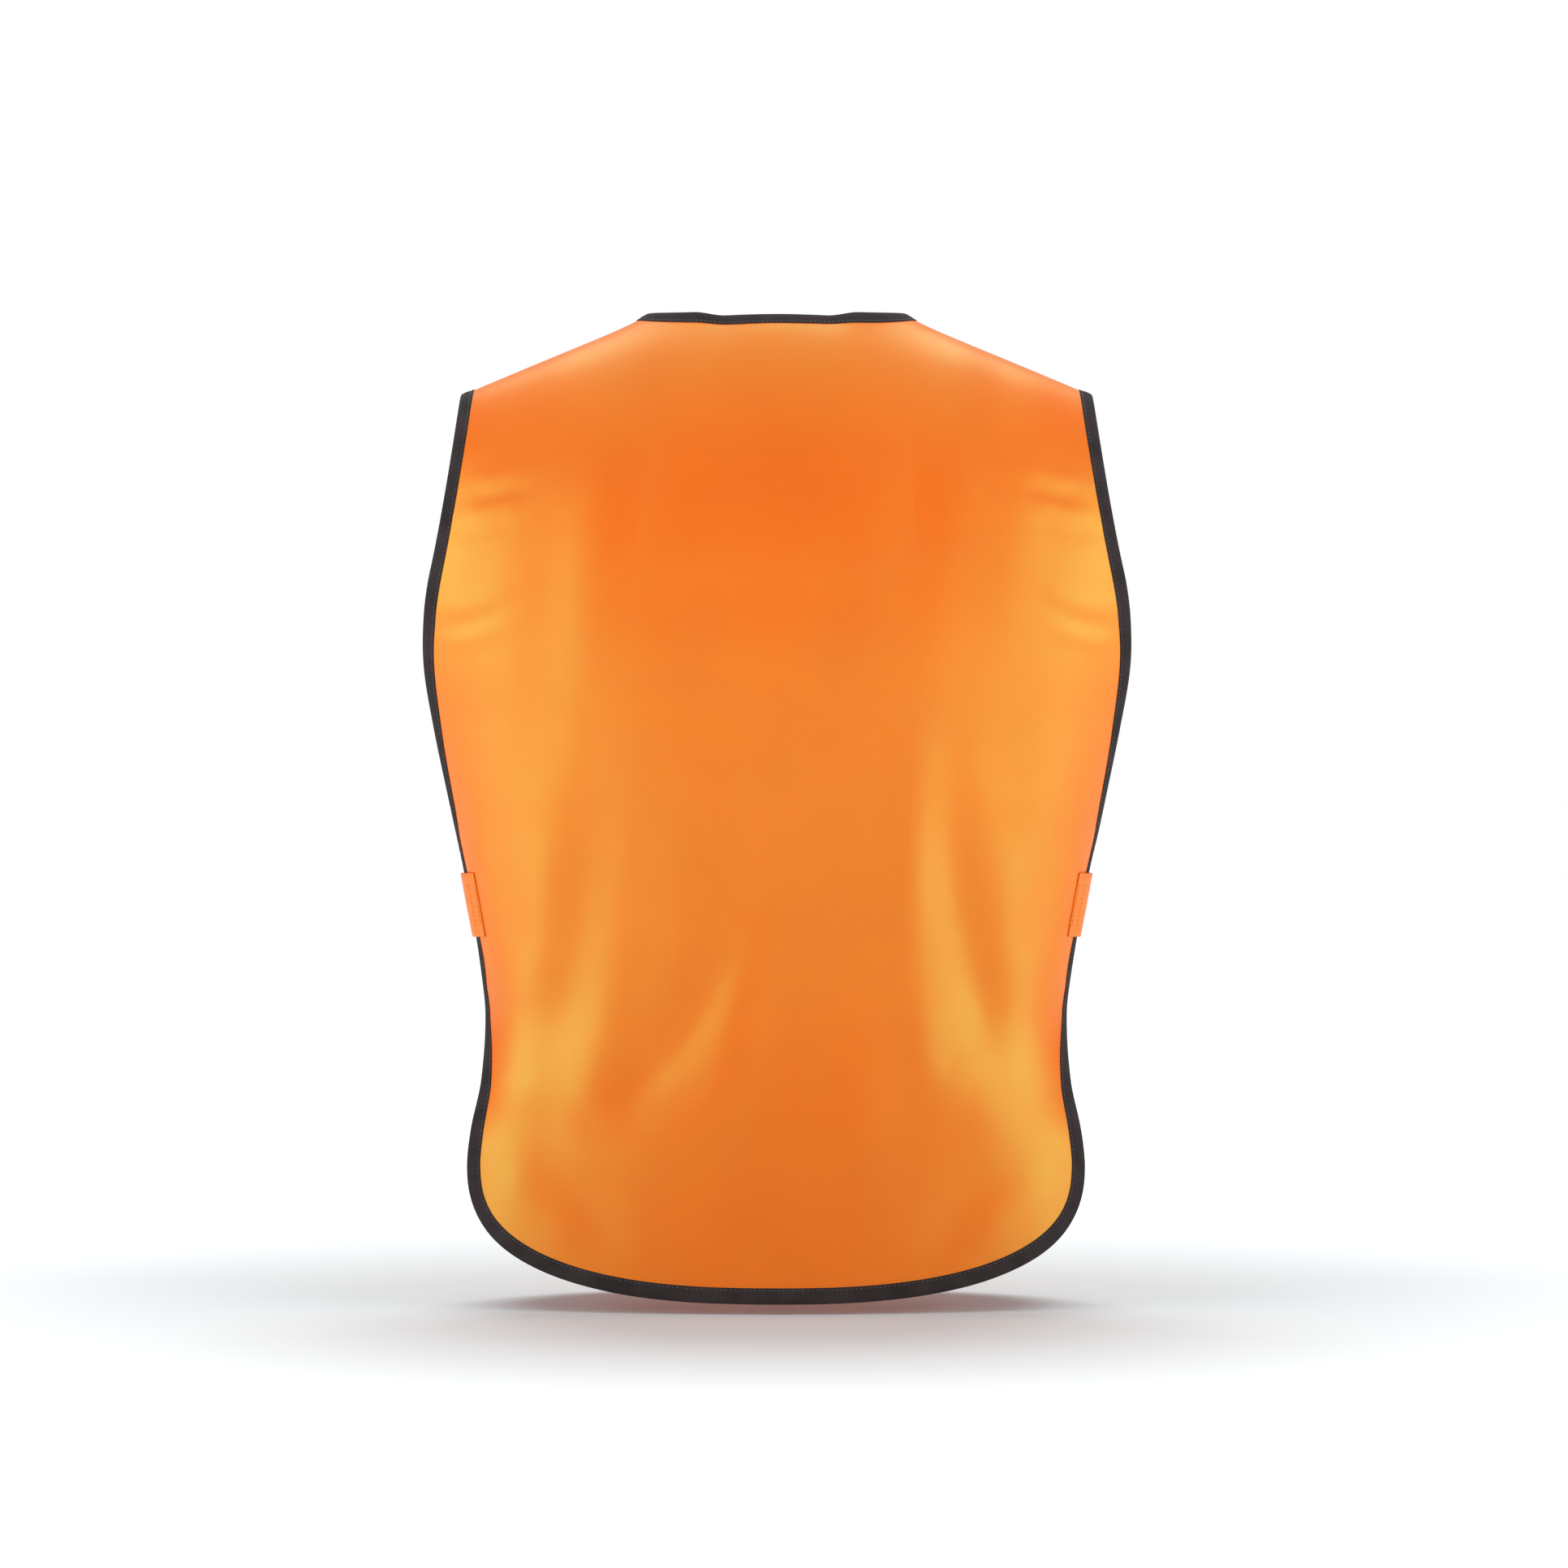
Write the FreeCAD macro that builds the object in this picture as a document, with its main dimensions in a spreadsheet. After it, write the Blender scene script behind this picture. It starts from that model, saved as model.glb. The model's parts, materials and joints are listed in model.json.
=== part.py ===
import FreeCAD, Part
import Sketcher
import os
from math import asin, acos, cos, hypot, pi, radians, sin

# Blaze orange safety vest: sleeveless, V-necked, with a zip front, bound edges and side tabs.
#
# Frame, in millimetres: the origin is midway between the two neck points, where the shoulder
# seams meet the neckline. +Z is up, the wearer faces -Y, and the wearer's left is +X.
#
# The cloth lies on two smooth surfaces, one for the back and one for the front. A point on either
# is found by "turn", the angle round the body from the centre line, and "up", the distance along
# the cloth above the level where the wall of the chest begins to arch over the shoulder.

Vector = FreeCAD.Vector
Rotation = FreeCAD.Rotation

# alias, value, meaning: millimetres, unless the meaning says otherwise
DIMENSIONS = [
    ("neck_half", 86, "centre line to the neckline's edge at a shoulder"),
    ("seam_half", 96, "centre line to a neck point, where a shoulder seam meets the binding"),
    ("neck_back", 49, "depth of the back neckline behind the shoulder seams"),
    ("vee_level", -172, "bottom of the V neck, and where the walls begin to arch"),
    ("vee_power", 1.2, "curve of the V neckline, 1 is straight"),
    ("tip_half", 212, "centre line to the shoulder tip"),
    ("shoulder_fall", 0.44, "fall of the shoulder, mm per mm"),
    ("shoulder_round", 60, "rounding of the shoulder line across the neck"),
    ("arch_run", 225, "length of cloth from the arch's start to the shoulder seam"),
    ("armhole_power", 1.3, "curve of an armhole's edge up to the shoulder tip, 1 is straight"),
    ("hem_power", 2.6, "roundness of the hem's corners"),
    ("back_hem", -652, "lowest point of the back hem"),
    ("back_corner", -563, "level of the back hem's corners"),
    ("front_hem", -640, "lowest point of the front hem"),
    ("front_corner", -565, "level of the front hem's corners"),
    ("front_depth", 116, "depth of the front wall, which is straight for the zip"),
    ("cloth", 1.2, "thickness of the shell cloth"),
    ("binding_half", 1.5, "half the thickness of a bound edge"),
    ("binding_lip", 1, "binding beyond the cloth's edge"),
    ("hem_binding", 10.8, "width of the hem's binding"),
    ("armhole_binding", 9, "width of the armholes' binding"),
    ("neck_binding", 9.5, "width of the neck's binding"),
    ("fold_top_half", 50, "where the front's fold line meets the neckline"),
    ("fold_foot_half", 120, "where the front's fold line meets the hem"),
    ("fold_gap", 1.5, "clearance on each side of the fold line"),
    ("fold_lift", 4, "least distance from the cloth out to the fold's axis"),
    ("binding_gap", 0.6, "half the gap between the ends of two bindings"),
    ("binding_meet", -390, "where an armhole's binding meets the hem's, under the side tab"),
    ("tab_top", -369, "top of a side tab"),
    ("tab_foot", -412, "bottom of a side tab"),
    ("tab_rear", 95, "turn of a side tab's rear end, degrees"),
    ("tab_front", 59, "turn of a side tab's free end, degrees"),
    ("tab_inner", 2.9, "side tab's inner face, off the front surface"),
    ("patch", 1, "thickness of a hook or loop patch"),
    ("patch_clear", 0.1, "clearance between a patch and the cloth it is sewn on"),
    ("patch_gap", 0.3, "clearance between a hook patch and its loop patch"),
    ("front_edge", 10.5, "centre line to a front panel's folded edge"),
    ("tape_edge", 6.4, "centre line to the zip tape's beaded edge"),
    ("tape_outer", 22, "centre line to the zip tape's outer edge"),
    ("tape_level", 114.2, "middle of the zip tape's thickness, forward of the origin"),
    ("tape", 0.8, "thickness of the zip tape"),
    ("zip_top", -193, "top of the zip tape"),
    ("zip_foot", -628, "bottom of the zip tape"),
    ("tooth_tip", 5, "centre line to the tips of the unzipped teeth"),
    ("tooth_length", 2.6, "length of a tooth across the tape"),
    ("tooth_height", 1.5, "height of a tooth"),
    ("tooth_half", 1.2, "half the thickness of a tooth"),
    ("tooth_pitch", 3, "spacing of the teeth"),
    ("tooth_count", 135, "teeth on each tape, a number"),
    ("pin_height", 14, "length of the retainer pin above its box"),
    ("stop_height", 4, "height of a top stop"),
    ("stop_length", 3.2, "length of a top stop across the tape"),
    ("box_height", 8, "height of the retainer box"),
    ("box_half", 3.6, "half the width of the retainer box"),
    ("box_centre", 4.8, "centre line to the middle of the retainer box"),
    ("box_depth", 2.2, "half the depth of the retainer box"),
    ("socket_near", 0.8, "insertion pin's socket, near side off the box's middle"),
    ("socket_far", 3.2, "insertion pin's socket, far side off the box's middle"),
    ("socket_half", 1.4, "half the depth of the socket across the tape"),
    ("socket_drop", 6, "depth of the socket below the box's top"),
    ("slider_gap", 0.4, "height of the parked slider above the retainer box"),
    ("slider_length", 13, "length of the slider"),
    ("slider_half", 5.4, "half the slider's width at its shoulders"),
    ("slider_foot_half", 4.8, "half the slider's width at its foot"),
    ("slider_inner", 3.9, "half the width of the slider's channel"),
    ("slider_channel", 1.5, "half the depth of the slider's channel"),
    ("slider_plate", 1, "thickness of a slider plate"),
    ("slider_slit", 0.65, "half the slit between the flanges"),
    ("wedge_half", 1, "half the width of the slider's wedge"),
    ("wedge_clear", 0.15, "clearance from the wedge to the teeth"),
    ("wedge_foot", 6, "height of the wedge's foot above the slider's foot"),
    ("crown_bore", 1.4, "radius of the opening under the slider's crown"),
    ("crown_stock", 0.9, "thickness of the crown round its opening"),
    ("crown_lift", 1.5, "pull's pivot off the slider's front face"),
    ("crown_half", 1, "half the width of the crown"),
    ("crown_level", 8, "height of the pull's pivot above the slider's foot"),
    ("pull_length", 26, "length of the pull tab below its pivot"),
    ("pull_half", 2.9, "half the width of the pull tab"),
    ("pull_plate", 1.3, "thickness of the pull tab"),
    ("pull_window_half", 1.6, "half the width of the pull's window round the crown"),
    ("pull_window_foot", 3.6, "foot of the pull's window below its pivot"),
    ("pull_slot_top", 14, "top of the pull's grip slot below its pivot"),
    ("pull_slot_foot", 22, "foot of the pull's grip slot below its pivot"),
    ("seam_tape", 12, "width of a shoulder seam tape"),
    ("seam_from", 110, "centre line to a seam tape's inner end"),
    ("seam_to", 200, "centre line to a seam tape's outer end"),
    ("inside_gap", 0.2, "clearance between the shell cloth and a piece sewn inside it"),
    ("patch_rear", 68.5, "turn of the patches' rear end, degrees"),
    ("patch_front", 61, "turn of the hook patch's free end, degrees"),
    ("loop_front", 53, "turn of the loop patch's front end, degrees"),
    ("patch_margin", 4, "tab's edge to its patch"),
]

# level, value: each profile is a smooth curve through its stations, from the hem up. The last
# station of a half width lies above the arch's start, and gives the curve its slope there.
PROFILES = {
    "back_spread": [(-660, 235), (-555, 227), (-509, 202), (-465, 194), (-412, 202),
                    (-369, 210), (-336, 216.4), (-271, 232.5), (-222, 251), (-172, 266)],
    "back_depth": [(-660, 97), (-560, 92), (-465, 88), (-380, 94), (-300, 104),
                   (-222, 111), (-172, 111)],
    "back_half": [(-660, 205.4), (-567, 205.4), (-541, 202.7), (-509, 196), (-465, 193.6),
                  (-440, 196.4), (-412, 201.8), (-369, 209.8), (-336, 216), (-271, 228.2),
                  (-222, 234.5), (-172, 230.2), (-122, 214.5)],
    "front_spread": [(-650, 208), (-560, 200), (-465, 192), (-412, 201), (-369, 209),
                     (-300, 222), (-222, 236), (-172, 245)],
    "front_half": [(-650, 195), (-550, 194), (-509, 189), (-465, 186), (-412, 194),
                   (-369, 200), (-345, 198), (-290, 184), (-222, 172), (-172, 176), (-122, 205.4)],
}


def fill_sheet(doc):
    """Writes the driving dimensions and the profiles' stations, each cell with its alias."""
    sheet = doc.addObject("Spreadsheet::Sheet", "dimensions")
    cells = list(DIMENSIONS)
    for name, stations in PROFILES.items():
        for i, (level, value) in enumerate(stations, start=1):
            cells.append((f"{name}_level_{i}", level, f"{name}, level of station {i}"))
            cells.append((f"{name}_value_{i}", value, f"{name}, value at station {i}"))
    for row, (alias, value, meaning) in enumerate(cells, start=1):
        sheet.set(f"A{row}", meaning)
        sheet.set(f"B{row}", str(value))
        sheet.setAlias(f"B{row}", alias)
    doc.recompute()
    return sheet


doc = FreeCAD.newDocument("blaze_orange_vest")
sheet = fill_sheet(doc)
dim = {alias: float(sheet.get(alias)) for alias, _, _ in DIMENSIONS}
profiles = {
    name: [
        (float(sheet.get(f"{name}_level_{i}")), float(sheet.get(f"{name}_value_{i}")))
        for i in range(1, len(stations) + 1)
    ]
    for name, stations in PROFILES.items()
}


# ---- the body surfaces ----------------------------------------------------------------------


def profile(name, level):
    """The smooth curve through a profile's stations, held at its end values beyond them."""
    stations = profiles[name]
    if level <= stations[0][0]:
        return stations[0][1]
    if level >= stations[-1][0]:
        return stations[-1][1]
    i = max(k for k, (z, _) in enumerate(stations) if z <= level)
    (z0, a), (z1, b) = stations[i], stations[i + 1]

    def slope(k):
        if k in (0, len(stations) - 1):
            return 0.0
        (za, va), (zb, vb) = stations[k - 1], stations[k + 1]
        return (vb - va) / (zb - za)

    run = z1 - z0
    w = (level - z0) / run
    return (
        a * (1 + 2 * w) * (1 - w) ** 2
        + b * w * w * (3 - 2 * w)
        + slope(i) * run * w * (1 - w) ** 2
        - slope(i + 1) * run * w * w * (1 - w)
    )


def ridge(x):
    """Height of the shoulder line at x."""
    fall, rounding = dim["shoulder_fall"], dim["shoulder_round"]
    return fall * (hypot(dim["seam_half"], rounding) - hypot(x, rounding))


def depth(panel, level):
    return dim["front_depth"] if panel == "front" else profile("back_depth", level)


def surface(panel, turn, up):
    """The point on a panel's surface at an angle round the body and a distance up the cloth."""
    level = dim["vee_level"] + min(up, 0.0)
    arch = pi / 2 * max(up, 0.0) / dim["arch_run"]
    way = -1 if panel == "front" else 1
    x = profile(panel + "_spread", level) * sin(turn)
    y = way * depth(panel, level) * cos(turn) * cos(arch)
    return Vector(x, y, level + (ridge(x) - level) * sin(arch))


def steps(panel, turn, up):
    """The surface's two tangents, per radian of turn and per mm of up, and its outward normal."""
    small_turn, small_up = 1e-4, 1e-2
    across = surface(panel, turn + small_turn, up) - surface(panel, turn - small_turn, up)
    along = surface(panel, turn, up + small_up) - surface(panel, turn, up - small_up)
    across.multiply(0.5 / small_turn)
    along.multiply(0.5 / small_up)
    outward = across.cross(along)
    if panel == "back":
        outward.multiply(-1)
    return across, along, outward.normalize()


def lifted(panel, turn, up, lift):
    """A point on the surface, moved outward along the normal."""
    return surface(panel, turn, up) + steps(panel, turn, up)[2] * lift


def edge_half(panel, up):
    """Half the width of a panel, centre line to bound edge, at a distance up the cloth."""
    if up <= 0:
        return profile(panel + "_half", dim["vee_level"] + up)
    start = profile(panel + "_half", dim["vee_level"])
    reached = sin(pi / 2 * up / dim["arch_run"])
    return dim["tip_half"] + (start - dim["tip_half"]) * (1 - reached) ** dim["armhole_power"]


def turn_at(panel, x, up):
    level = dim["vee_level"] + min(up, 0.0)
    return asin(max(-1.0, min(1.0, x / profile(panel + "_spread", level))))


def from_elevation(panel, x, z):
    """(turn, up) of the surface point seen at x, z from straight in front or behind."""
    level = dim["vee_level"]
    if z <= level:
        return turn_at(panel, x, z - level), z - level
    share = min(1.0, (z - level) / (ridge(x) - level))
    return turn_at(panel, x, 1), asin(share) * dim["arch_run"] * 2 / pi


def from_plan(x, y):
    """(turn, up) of the back's surface point above x, y, on the arch."""
    turn = turn_at("back", x, 1)
    share = y / (depth("back", dim["vee_level"]) * cos(turn))
    return turn, acos(min(1.0, share)) * dim["arch_run"] * 2 / pi


# ---- outlines -------------------------------------------------------------------------------


def hem_level(panel, x):
    """Height of a panel's hem at x: a rounded corner on each side of a nearly flat middle."""
    half = profile(panel + "_half", dim[panel + "_corner"])
    share = min(1.0, abs(x) / half)
    drop = dim[panel + "_corner"] - dim[panel + "_hem"]
    power = dim["hem_power"]
    return dim[panel + "_corner"] - drop * (1 - share ** power) ** (1 / power)


def hem_route(panel, start, end, count):
    """Points (x, z) along a hem's rounded outline, by an angle from its bottom centre."""
    half = profile(panel + "_half", dim[panel + "_corner"])
    drop = dim[panel + "_corner"] - dim[panel + "_hem"]
    power = 2 / dim["hem_power"]
    found = []
    for angle in spaced(start, end, count):
        side = -1 if angle < 0 else 1
        found.append((side * half * sin(abs(angle)) ** power,
                      dim[panel + "_corner"] - drop * cos(angle) ** power))
    return found


def vee_height(x):
    """Height of the V neckline at x, from the front edge to the shoulder."""
    share = (abs(x) - dim["front_edge"]) / (dim["neck_half"] - dim["front_edge"])
    top = ridge(dim["neck_half"])
    return top + (dim["vee_level"] - top) * (1 - max(0.0, share) ** dim["vee_power"])


def spaced(start, end, count):
    return [start + (end - start) * i / (count - 1) for i in range(count)]


# ---- making solids --------------------------------------------------------------------------


def interpolated(grid):
    face = Part.BSplineSurface()
    face.interpolate(grid)
    return face


def thick_patch(outer_grid, inner_grid):
    """The closed solid between two grids of points, with ruled walls round its four sides."""
    outer, inner = interpolated(outer_grid), interpolated(inner_grid)
    faces = [outer.toShape(), inner.toShape()]
    u0, u1, v0, v1 = outer.bounds()
    s0, s1, t0, t1 = inner.bounds()
    sides = [
        (outer.uIso(u0), inner.uIso(s0)), (outer.uIso(u1), inner.uIso(s1)),
        (outer.vIso(v0), inner.vIso(t0)), (outer.vIso(v1), inner.vIso(t1)),
    ]
    for a, b in sides:
        faces.append(Part.makeRuledSurface(a.toShape(), b.toShape()))
    shell = Part.makeShell(faces)
    shell.sewShape()
    solid = Part.makeSolid(shell)
    if solid.Volume < 0:
        solid.reverse()
    return solid


def cloth_patch(panel, turns, ups, inner, outer):
    """A solid on a panel's surface. turns gives the angles of a row from its distance up."""
    rows = [[(turn, up) for turn in turns(up)] for up in ups]
    return thick_patch(*[
        [[lifted(panel, turn, up, lift) for turn, up in row] for row in rows]
        for lift in (outer, inner)
    ])


def edge_strip(route, width, inward, inner=None, outer=None, lip=None):
    """A strip along route, a list of (panel, turn, up), reaching width across the cloth.

    inward, 1 or -1, is the side of the route on which the cloth lies. The strip is as thick as a
    bound edge and begins a lip beyond the route, unless its lifts and lip are given.
    """
    inner = -dim["binding_half"] if inner is None else inner
    outer = dim["binding_half"] if outer is None else outer
    lip = dim["binding_lip"] if lip is None else lip
    middle = [surface(*place) for place in route]
    grids = {outer: [], inner: []}
    for i, (panel, turn, up) in enumerate(route):
        before, after = middle[max(i - 1, 0)], middle[min(i + 1, len(route) - 1)]
        across, along, normal = steps(panel, turn, up)
        aim = normal.cross((after - before).normalize()) * inward
        d_turn, d_up = in_surface(across, along, aim)
        for lift, grid in grids.items():
            grid.append([
                lifted(panel, turn + d_turn * reach, up + d_up * reach, lift)
                for reach in spaced(-lip, width - lip, 4)
            ])
    return thick_patch(grids[outer], grids[inner])


def in_surface(across, along, aim):
    """The steps in turn and up that move a surface point by the tangent vector aim."""
    a, b, c = across.dot(across), across.dot(along), along.dot(along)
    p, q = across.dot(aim), along.dot(aim)
    area = a * c - b * b
    return (c * p - b * q) / area, (a * q - b * p) / area


def prism(outline, axis, start, length):
    """A prism through outline, a closed list of (x, z), or of (x, y) for the axis Z."""
    if axis == "Y":
        points = [Vector(x, start, z) for x, z in outline]
        sweep = Vector(0, length, 0)
    else:
        points = [Vector(x, y, start) for x, y in outline]
        sweep = Vector(0, 0, length)
    return Part.Face(Part.makePolygon(points + points[:1])).extrude(sweep)


def add_piece(label, shape):
    """A sub-part whose shape is made by Part's own functions."""
    piece = doc.addObject("Part::Feature", label)
    piece.Label = label
    piece.Shape = shape
    piece.Placement = FreeCAD.Placement()
    return piece


def mirrored(shape):
    """The same piece for the wearer's right side."""
    return shape.mirror(Vector(0, 0, 0), Vector(1, 0, 0))


def solid_of(shape):
    """The one solid that a boolean left, or the largest of several."""
    return max(shape.Solids, key=lambda solid: solid.Volume)


# ---- outlines of the pieces -----------------------------------------------------------------

FAR = 400
SPARE = 5
level = dim["vee_level"]
ridge_up = dim["arch_run"]
half_cloth = dim["cloth"] / 2


def neck_place(up):
    """The V neckline's place on the front at a distance up the arch."""
    low, high = dim["front_edge"], dim["neck_half"]
    share = sin(pi / 2 * up / dim["arch_run"])
    for _ in range(40):
        x = (low + high) / 2
        if vee_height(x) < level + (ridge(x) - level) * share:
            low = x
        else:
            high = x
    return ("front", turn_at("front", x, 1), up)


def neck_route():
    """The whole neckline, up the left front, round the back and down the right front."""
    left = [neck_place(up) for up in spaced(2, ridge_up, 15)]
    back = [
        ("back",) + from_plan(dim["neck_half"] * sin(angle), dim["neck_back"] * cos(angle))
        for angle in spaced(pi / 2, -pi / 2, 19)
    ]
    right = [(panel, -turn, up) for panel, turn, up in reversed(left)]
    return left[:-1] + back + right[1:]


def edge_place(panel, up):
    return (panel, turn_at(panel, edge_half(panel, up), up), up)


def armhole_route():
    """The left armhole, from the side tab up the front, over the shoulder and down the back."""
    meet = dim["binding_meet"] + dim["binding_gap"] - level
    wall, arch = spaced(meet, 0, 12), spaced(0, ridge_up, 11)[1:]
    front = [edge_place("front", up) for up in wall + arch]
    back = [edge_place("back", up) for up in wall + arch]
    return front[:-1] + back[::-1]


def side_and_hem(panel, last_angle):
    """From under the left side tab down the side, round the corner and along the hem."""
    meet, corner = dim["binding_meet"] - dim["binding_gap"], dim[panel + "_corner"]
    side = [edge_place(panel, z - level) for z in spaced(meet, corner + SPARE, 8)]
    hem = [(panel,) + from_elevation(panel, x, z)
           for x, z in hem_route(panel, pi / 2, last_angle, 15)]
    return side + hem


def hem_angle(panel, x):
    """The hem outline's angle from its bottom centre, at x."""
    half = profile(panel + "_half", dim[panel + "_corner"])
    return asin((x / half) ** (dim["hem_power"] / 2))


# ---- the fold on which a front swings open --------------------------------------------------


def top_of_fold():
    half = dim["fold_top_half"]
    return surface("front", *from_elevation("front", half, vee_height(half)))


def fold_frame():
    """The left fold's foot, and its unit vectors up its axis, outward, and toward the centre."""
    top = top_of_fold()
    half = dim["fold_foot_half"]
    foot = surface("front", *from_elevation("front", half, hem_level("front", half)))
    axis = (top - foot).normalize()
    crossing = [
        (foot.x + (top.x - foot.x) * share, foot.z + (top.z - foot.z) * share)
        for share in spaced(0, 1, 21)
    ]
    places = [("front",) + from_elevation("front", x, z) for x, z in crossing]
    outward = steps(*places[len(places) // 2])[2]
    outward = (outward - axis * outward.dot(axis)).normalize()
    bulge = max((surface(*place) - foot).dot(outward) for place in places)
    return foot + outward * (bulge + dim["fold_lift"]), axis, outward, axis.cross(outward) * -1


def fold_region():
    """The space of the left front's swinging part, from the fold to the centre line."""
    foot, axis, outward, inward = fold_frame()
    frame = FreeCAD.Placement(foot, Rotation(inward, outward, axis, "XYZ"))
    length = foot.distanceToPoint(top_of_fold()) + FAR
    clear = dim["fold_gap"]
    box = Part.makeBox(FAR, FAR, length, Vector(clear, -FAR / 2, -FAR))
    gap = Part.makeBox(FAR + 2 * clear, FAR, length + clear, Vector(-clear, -FAR / 2, -FAR))
    left_half = Part.makeBox(FAR, FAR, 3 * FAR, Vector(0, -FAR, -2.5 * FAR))
    for made in (box, gap):
        made.Placement = frame
    return box.common(left_half), gap.common(left_half)


# ---- shell cloth ----------------------------------------------------------------------------


def panel_rows(foot, wall, arch):
    return spaced(foot - level, 0, wall) + spaced(0, ridge_up, arch)[1:]


def hem_prism(panel, way):
    """The space above a panel's hem, the cloth stopping a lip inside the binding."""
    inset = dim["binding_lip"]
    scale = 1 - inset / dim["tip_half"]
    rim = [(x * scale, z + inset) for x, z in hem_route(panel, -pi / 2, pi / 2, 41)]
    corner = dim[panel + "_corner"]
    return prism(rim + [(FAR, corner), (FAR, FAR), (-FAR, FAR), (-FAR, corner)],
                 "Y", -SPARE * way, FAR * way)


def back_panel():
    """The back in one piece of cloth, cut round the neck and the hem."""
    inset = dim["binding_lip"]

    def turns(up):
        end = turn_at("back", edge_half("back", up) - inset, up)
        return spaced(-end, end, 15)

    cloth = cloth_patch("back", turns, panel_rows(dim["back_hem"] - SPARE, 22, 11),
                        -half_cloth, half_cloth)
    rim = [
        ((dim["neck_half"] + inset) * sin(angle), (dim["neck_back"] + inset) * cos(angle))
        for angle in spaced(-pi / 2, pi / 2, 25)
    ]
    side = dim["neck_half"] + inset
    neck = prism(rim + [(side, -1), (-side, -1)], "Z", -100, 300)
    return solid_of(cloth.cut(neck).common(hem_prism("back", 1)))


def left_front():
    """The whole left front, from its folded edge at the zip to the armhole and the side."""
    inset = dim["binding_lip"]

    def turns(up):
        start = turn_at("front", dim["front_edge"], up)
        end = turn_at("front", edge_half("front", up) - inset, up)
        return spaced(start, end, 13)

    cloth = cloth_patch("front", turns, panel_rows(dim["front_hem"] - SPARE, 20, 11),
                        -half_cloth, half_cloth)
    rim = [(x + inset, vee_height(x)) for x in spaced(dim["front_edge"], dim["neck_half"], 25)]
    side = dim["neck_half"] + inset
    neck = prism(rim + [(side, FAR), (-inset, FAR), (-inset, level)], "Y", -FAR, FAR + 1)
    return solid_of(cloth.cut(neck).common(hem_prism("front", -1)))


def split(shape):
    """A front piece's swinging part and its fixed part, on the two sides of the fold."""
    swinging, gap = fold_region()
    return solid_of(shape.common(swinging)), solid_of(shape.cut(gap))


def add_pair(name, shape):
    """A piece of the wearer's left side and its mirror image on the right."""
    add_piece("left_" + name, shape)
    add_piece("right_" + name, mirrored(shape))


back = back_panel()
front = left_front()
front_swing, front_side = split(front)
add_piece("back_panel", back)
add_pair("front_panel", front_swing)
add_pair("front_side_panel", front_side)

# ---- bound edges ----------------------------------------------------------------------------


def bound(strip, *cloths):
    """A binding folded round the edge of its cloth."""
    for cloth in cloths:
        strip = strip.cut(cloth)
    return solid_of(strip)


def neck_bindings():
    """The binding round the back neck and shoulders, and the part down the left of the V."""
    strip = edge_strip(neck_route(), dim["neck_binding"], -1)
    swinging, gap = fold_region()
    vee = bound(strip.common(swinging), front_swing)
    collar = bound(strip.cut(gap).cut(mirrored(gap)), back, front_side, mirrored(front_side))
    return collar, vee


neck_binding, vee_binding = neck_bindings()
add_piece("neck_binding", neck_binding)
add_pair("vee_binding", vee_binding)
add_pair("armhole_binding",
         bound(edge_strip(armhole_route(), dim["armhole_binding"], 1), back, front_side))

left_rim = side_and_hem("back", 0)
right_rim = [(panel, -turn, up) for panel, turn, up in reversed(left_rim)]
add_piece("back_hem_binding",
          bound(edge_strip(left_rim[:-1] + right_rim, dim["hem_binding"], 1), back))

front_rim = side_and_hem("front", hem_angle("front", dim["front_edge"]))
hem_swing, hem_side = split(edge_strip(front_rim, dim["hem_binding"], -1))
add_pair("front_hem_binding", bound(hem_swing, front_swing))
add_pair("front_side_binding", bound(hem_side, front_side))

# ---- pieces sewn on the cloth ---------------------------------------------------------------


def tab_patch(rear, foremost, margin, inner, outer):
    """A patch of the side tab's height, less a margin, on the left front's surface."""
    turns = spaced(radians(rear), radians(foremost), 9)
    ups = spaced(dim["tab_foot"] + margin - level, dim["tab_top"] - margin - level, 5)
    return cloth_patch("front", lambda up: turns, ups, inner, outer)


tab_outer = dim["tab_inner"] + dim["cloth"]
hook_inner = dim["tab_inner"] - dim["patch"]
add_pair("side_tab", tab_patch(dim["tab_rear"], dim["tab_front"], 0, dim["tab_inner"], tab_outer))
add_pair("hook_patch", tab_patch(dim["patch_rear"], dim["patch_front"], dim["patch_margin"],
                                 hook_inner, dim["tab_inner"] - dim["patch_clear"]))
add_pair("loop_patch", tab_patch(dim["patch_rear"], dim["loop_front"], dim["patch_margin"],
                                 half_cloth + dim["patch_clear"],
                                 hook_inner - dim["patch_gap"]))


def seam_tape():
    """The tape inside the left shoulder seam."""
    route = [("back", turn_at("back", x, 1), ridge_up)
             for x in spaced(dim["seam_from"], dim["seam_to"], 9)]
    top = -half_cloth - dim["inside_gap"]
    return edge_strip(route, dim["seam_tape"], 1, top - dim["tape"], top, dim["seam_tape"] / 2)


add_pair("shoulder_tape", seam_tape())

# ---- zip ------------------------------------------------------------------------------------


def sheet_value(words):
    """An expression on the sheet: each word of words names a cell."""
    return " ".join("dimensions." + word if word[0].isalpha() else word for word in words.split())


def plane_of(body, role):
    return next(plane for plane in body.Origin.OriginFeatures if plane.Role == role)


def new_body(label, x, y, z):
    """A body placed by expressions on the sheet."""
    body = doc.addObject("PartDesign::Body", label)
    body.Label = label
    for name, words in (("x", x), ("y", y), ("z", z)):
        body.setExpression("Placement.Base." + name, sheet_value(words))
    return body


def new_sketch(body, role):
    sketch = body.newObject("Sketcher::SketchObject", body.Label + "_sketch")
    sketch.AttachmentSupport = [(plane_of(body, role), "")]
    sketch.MapMode = "FlatFace"
    return sketch


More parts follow.
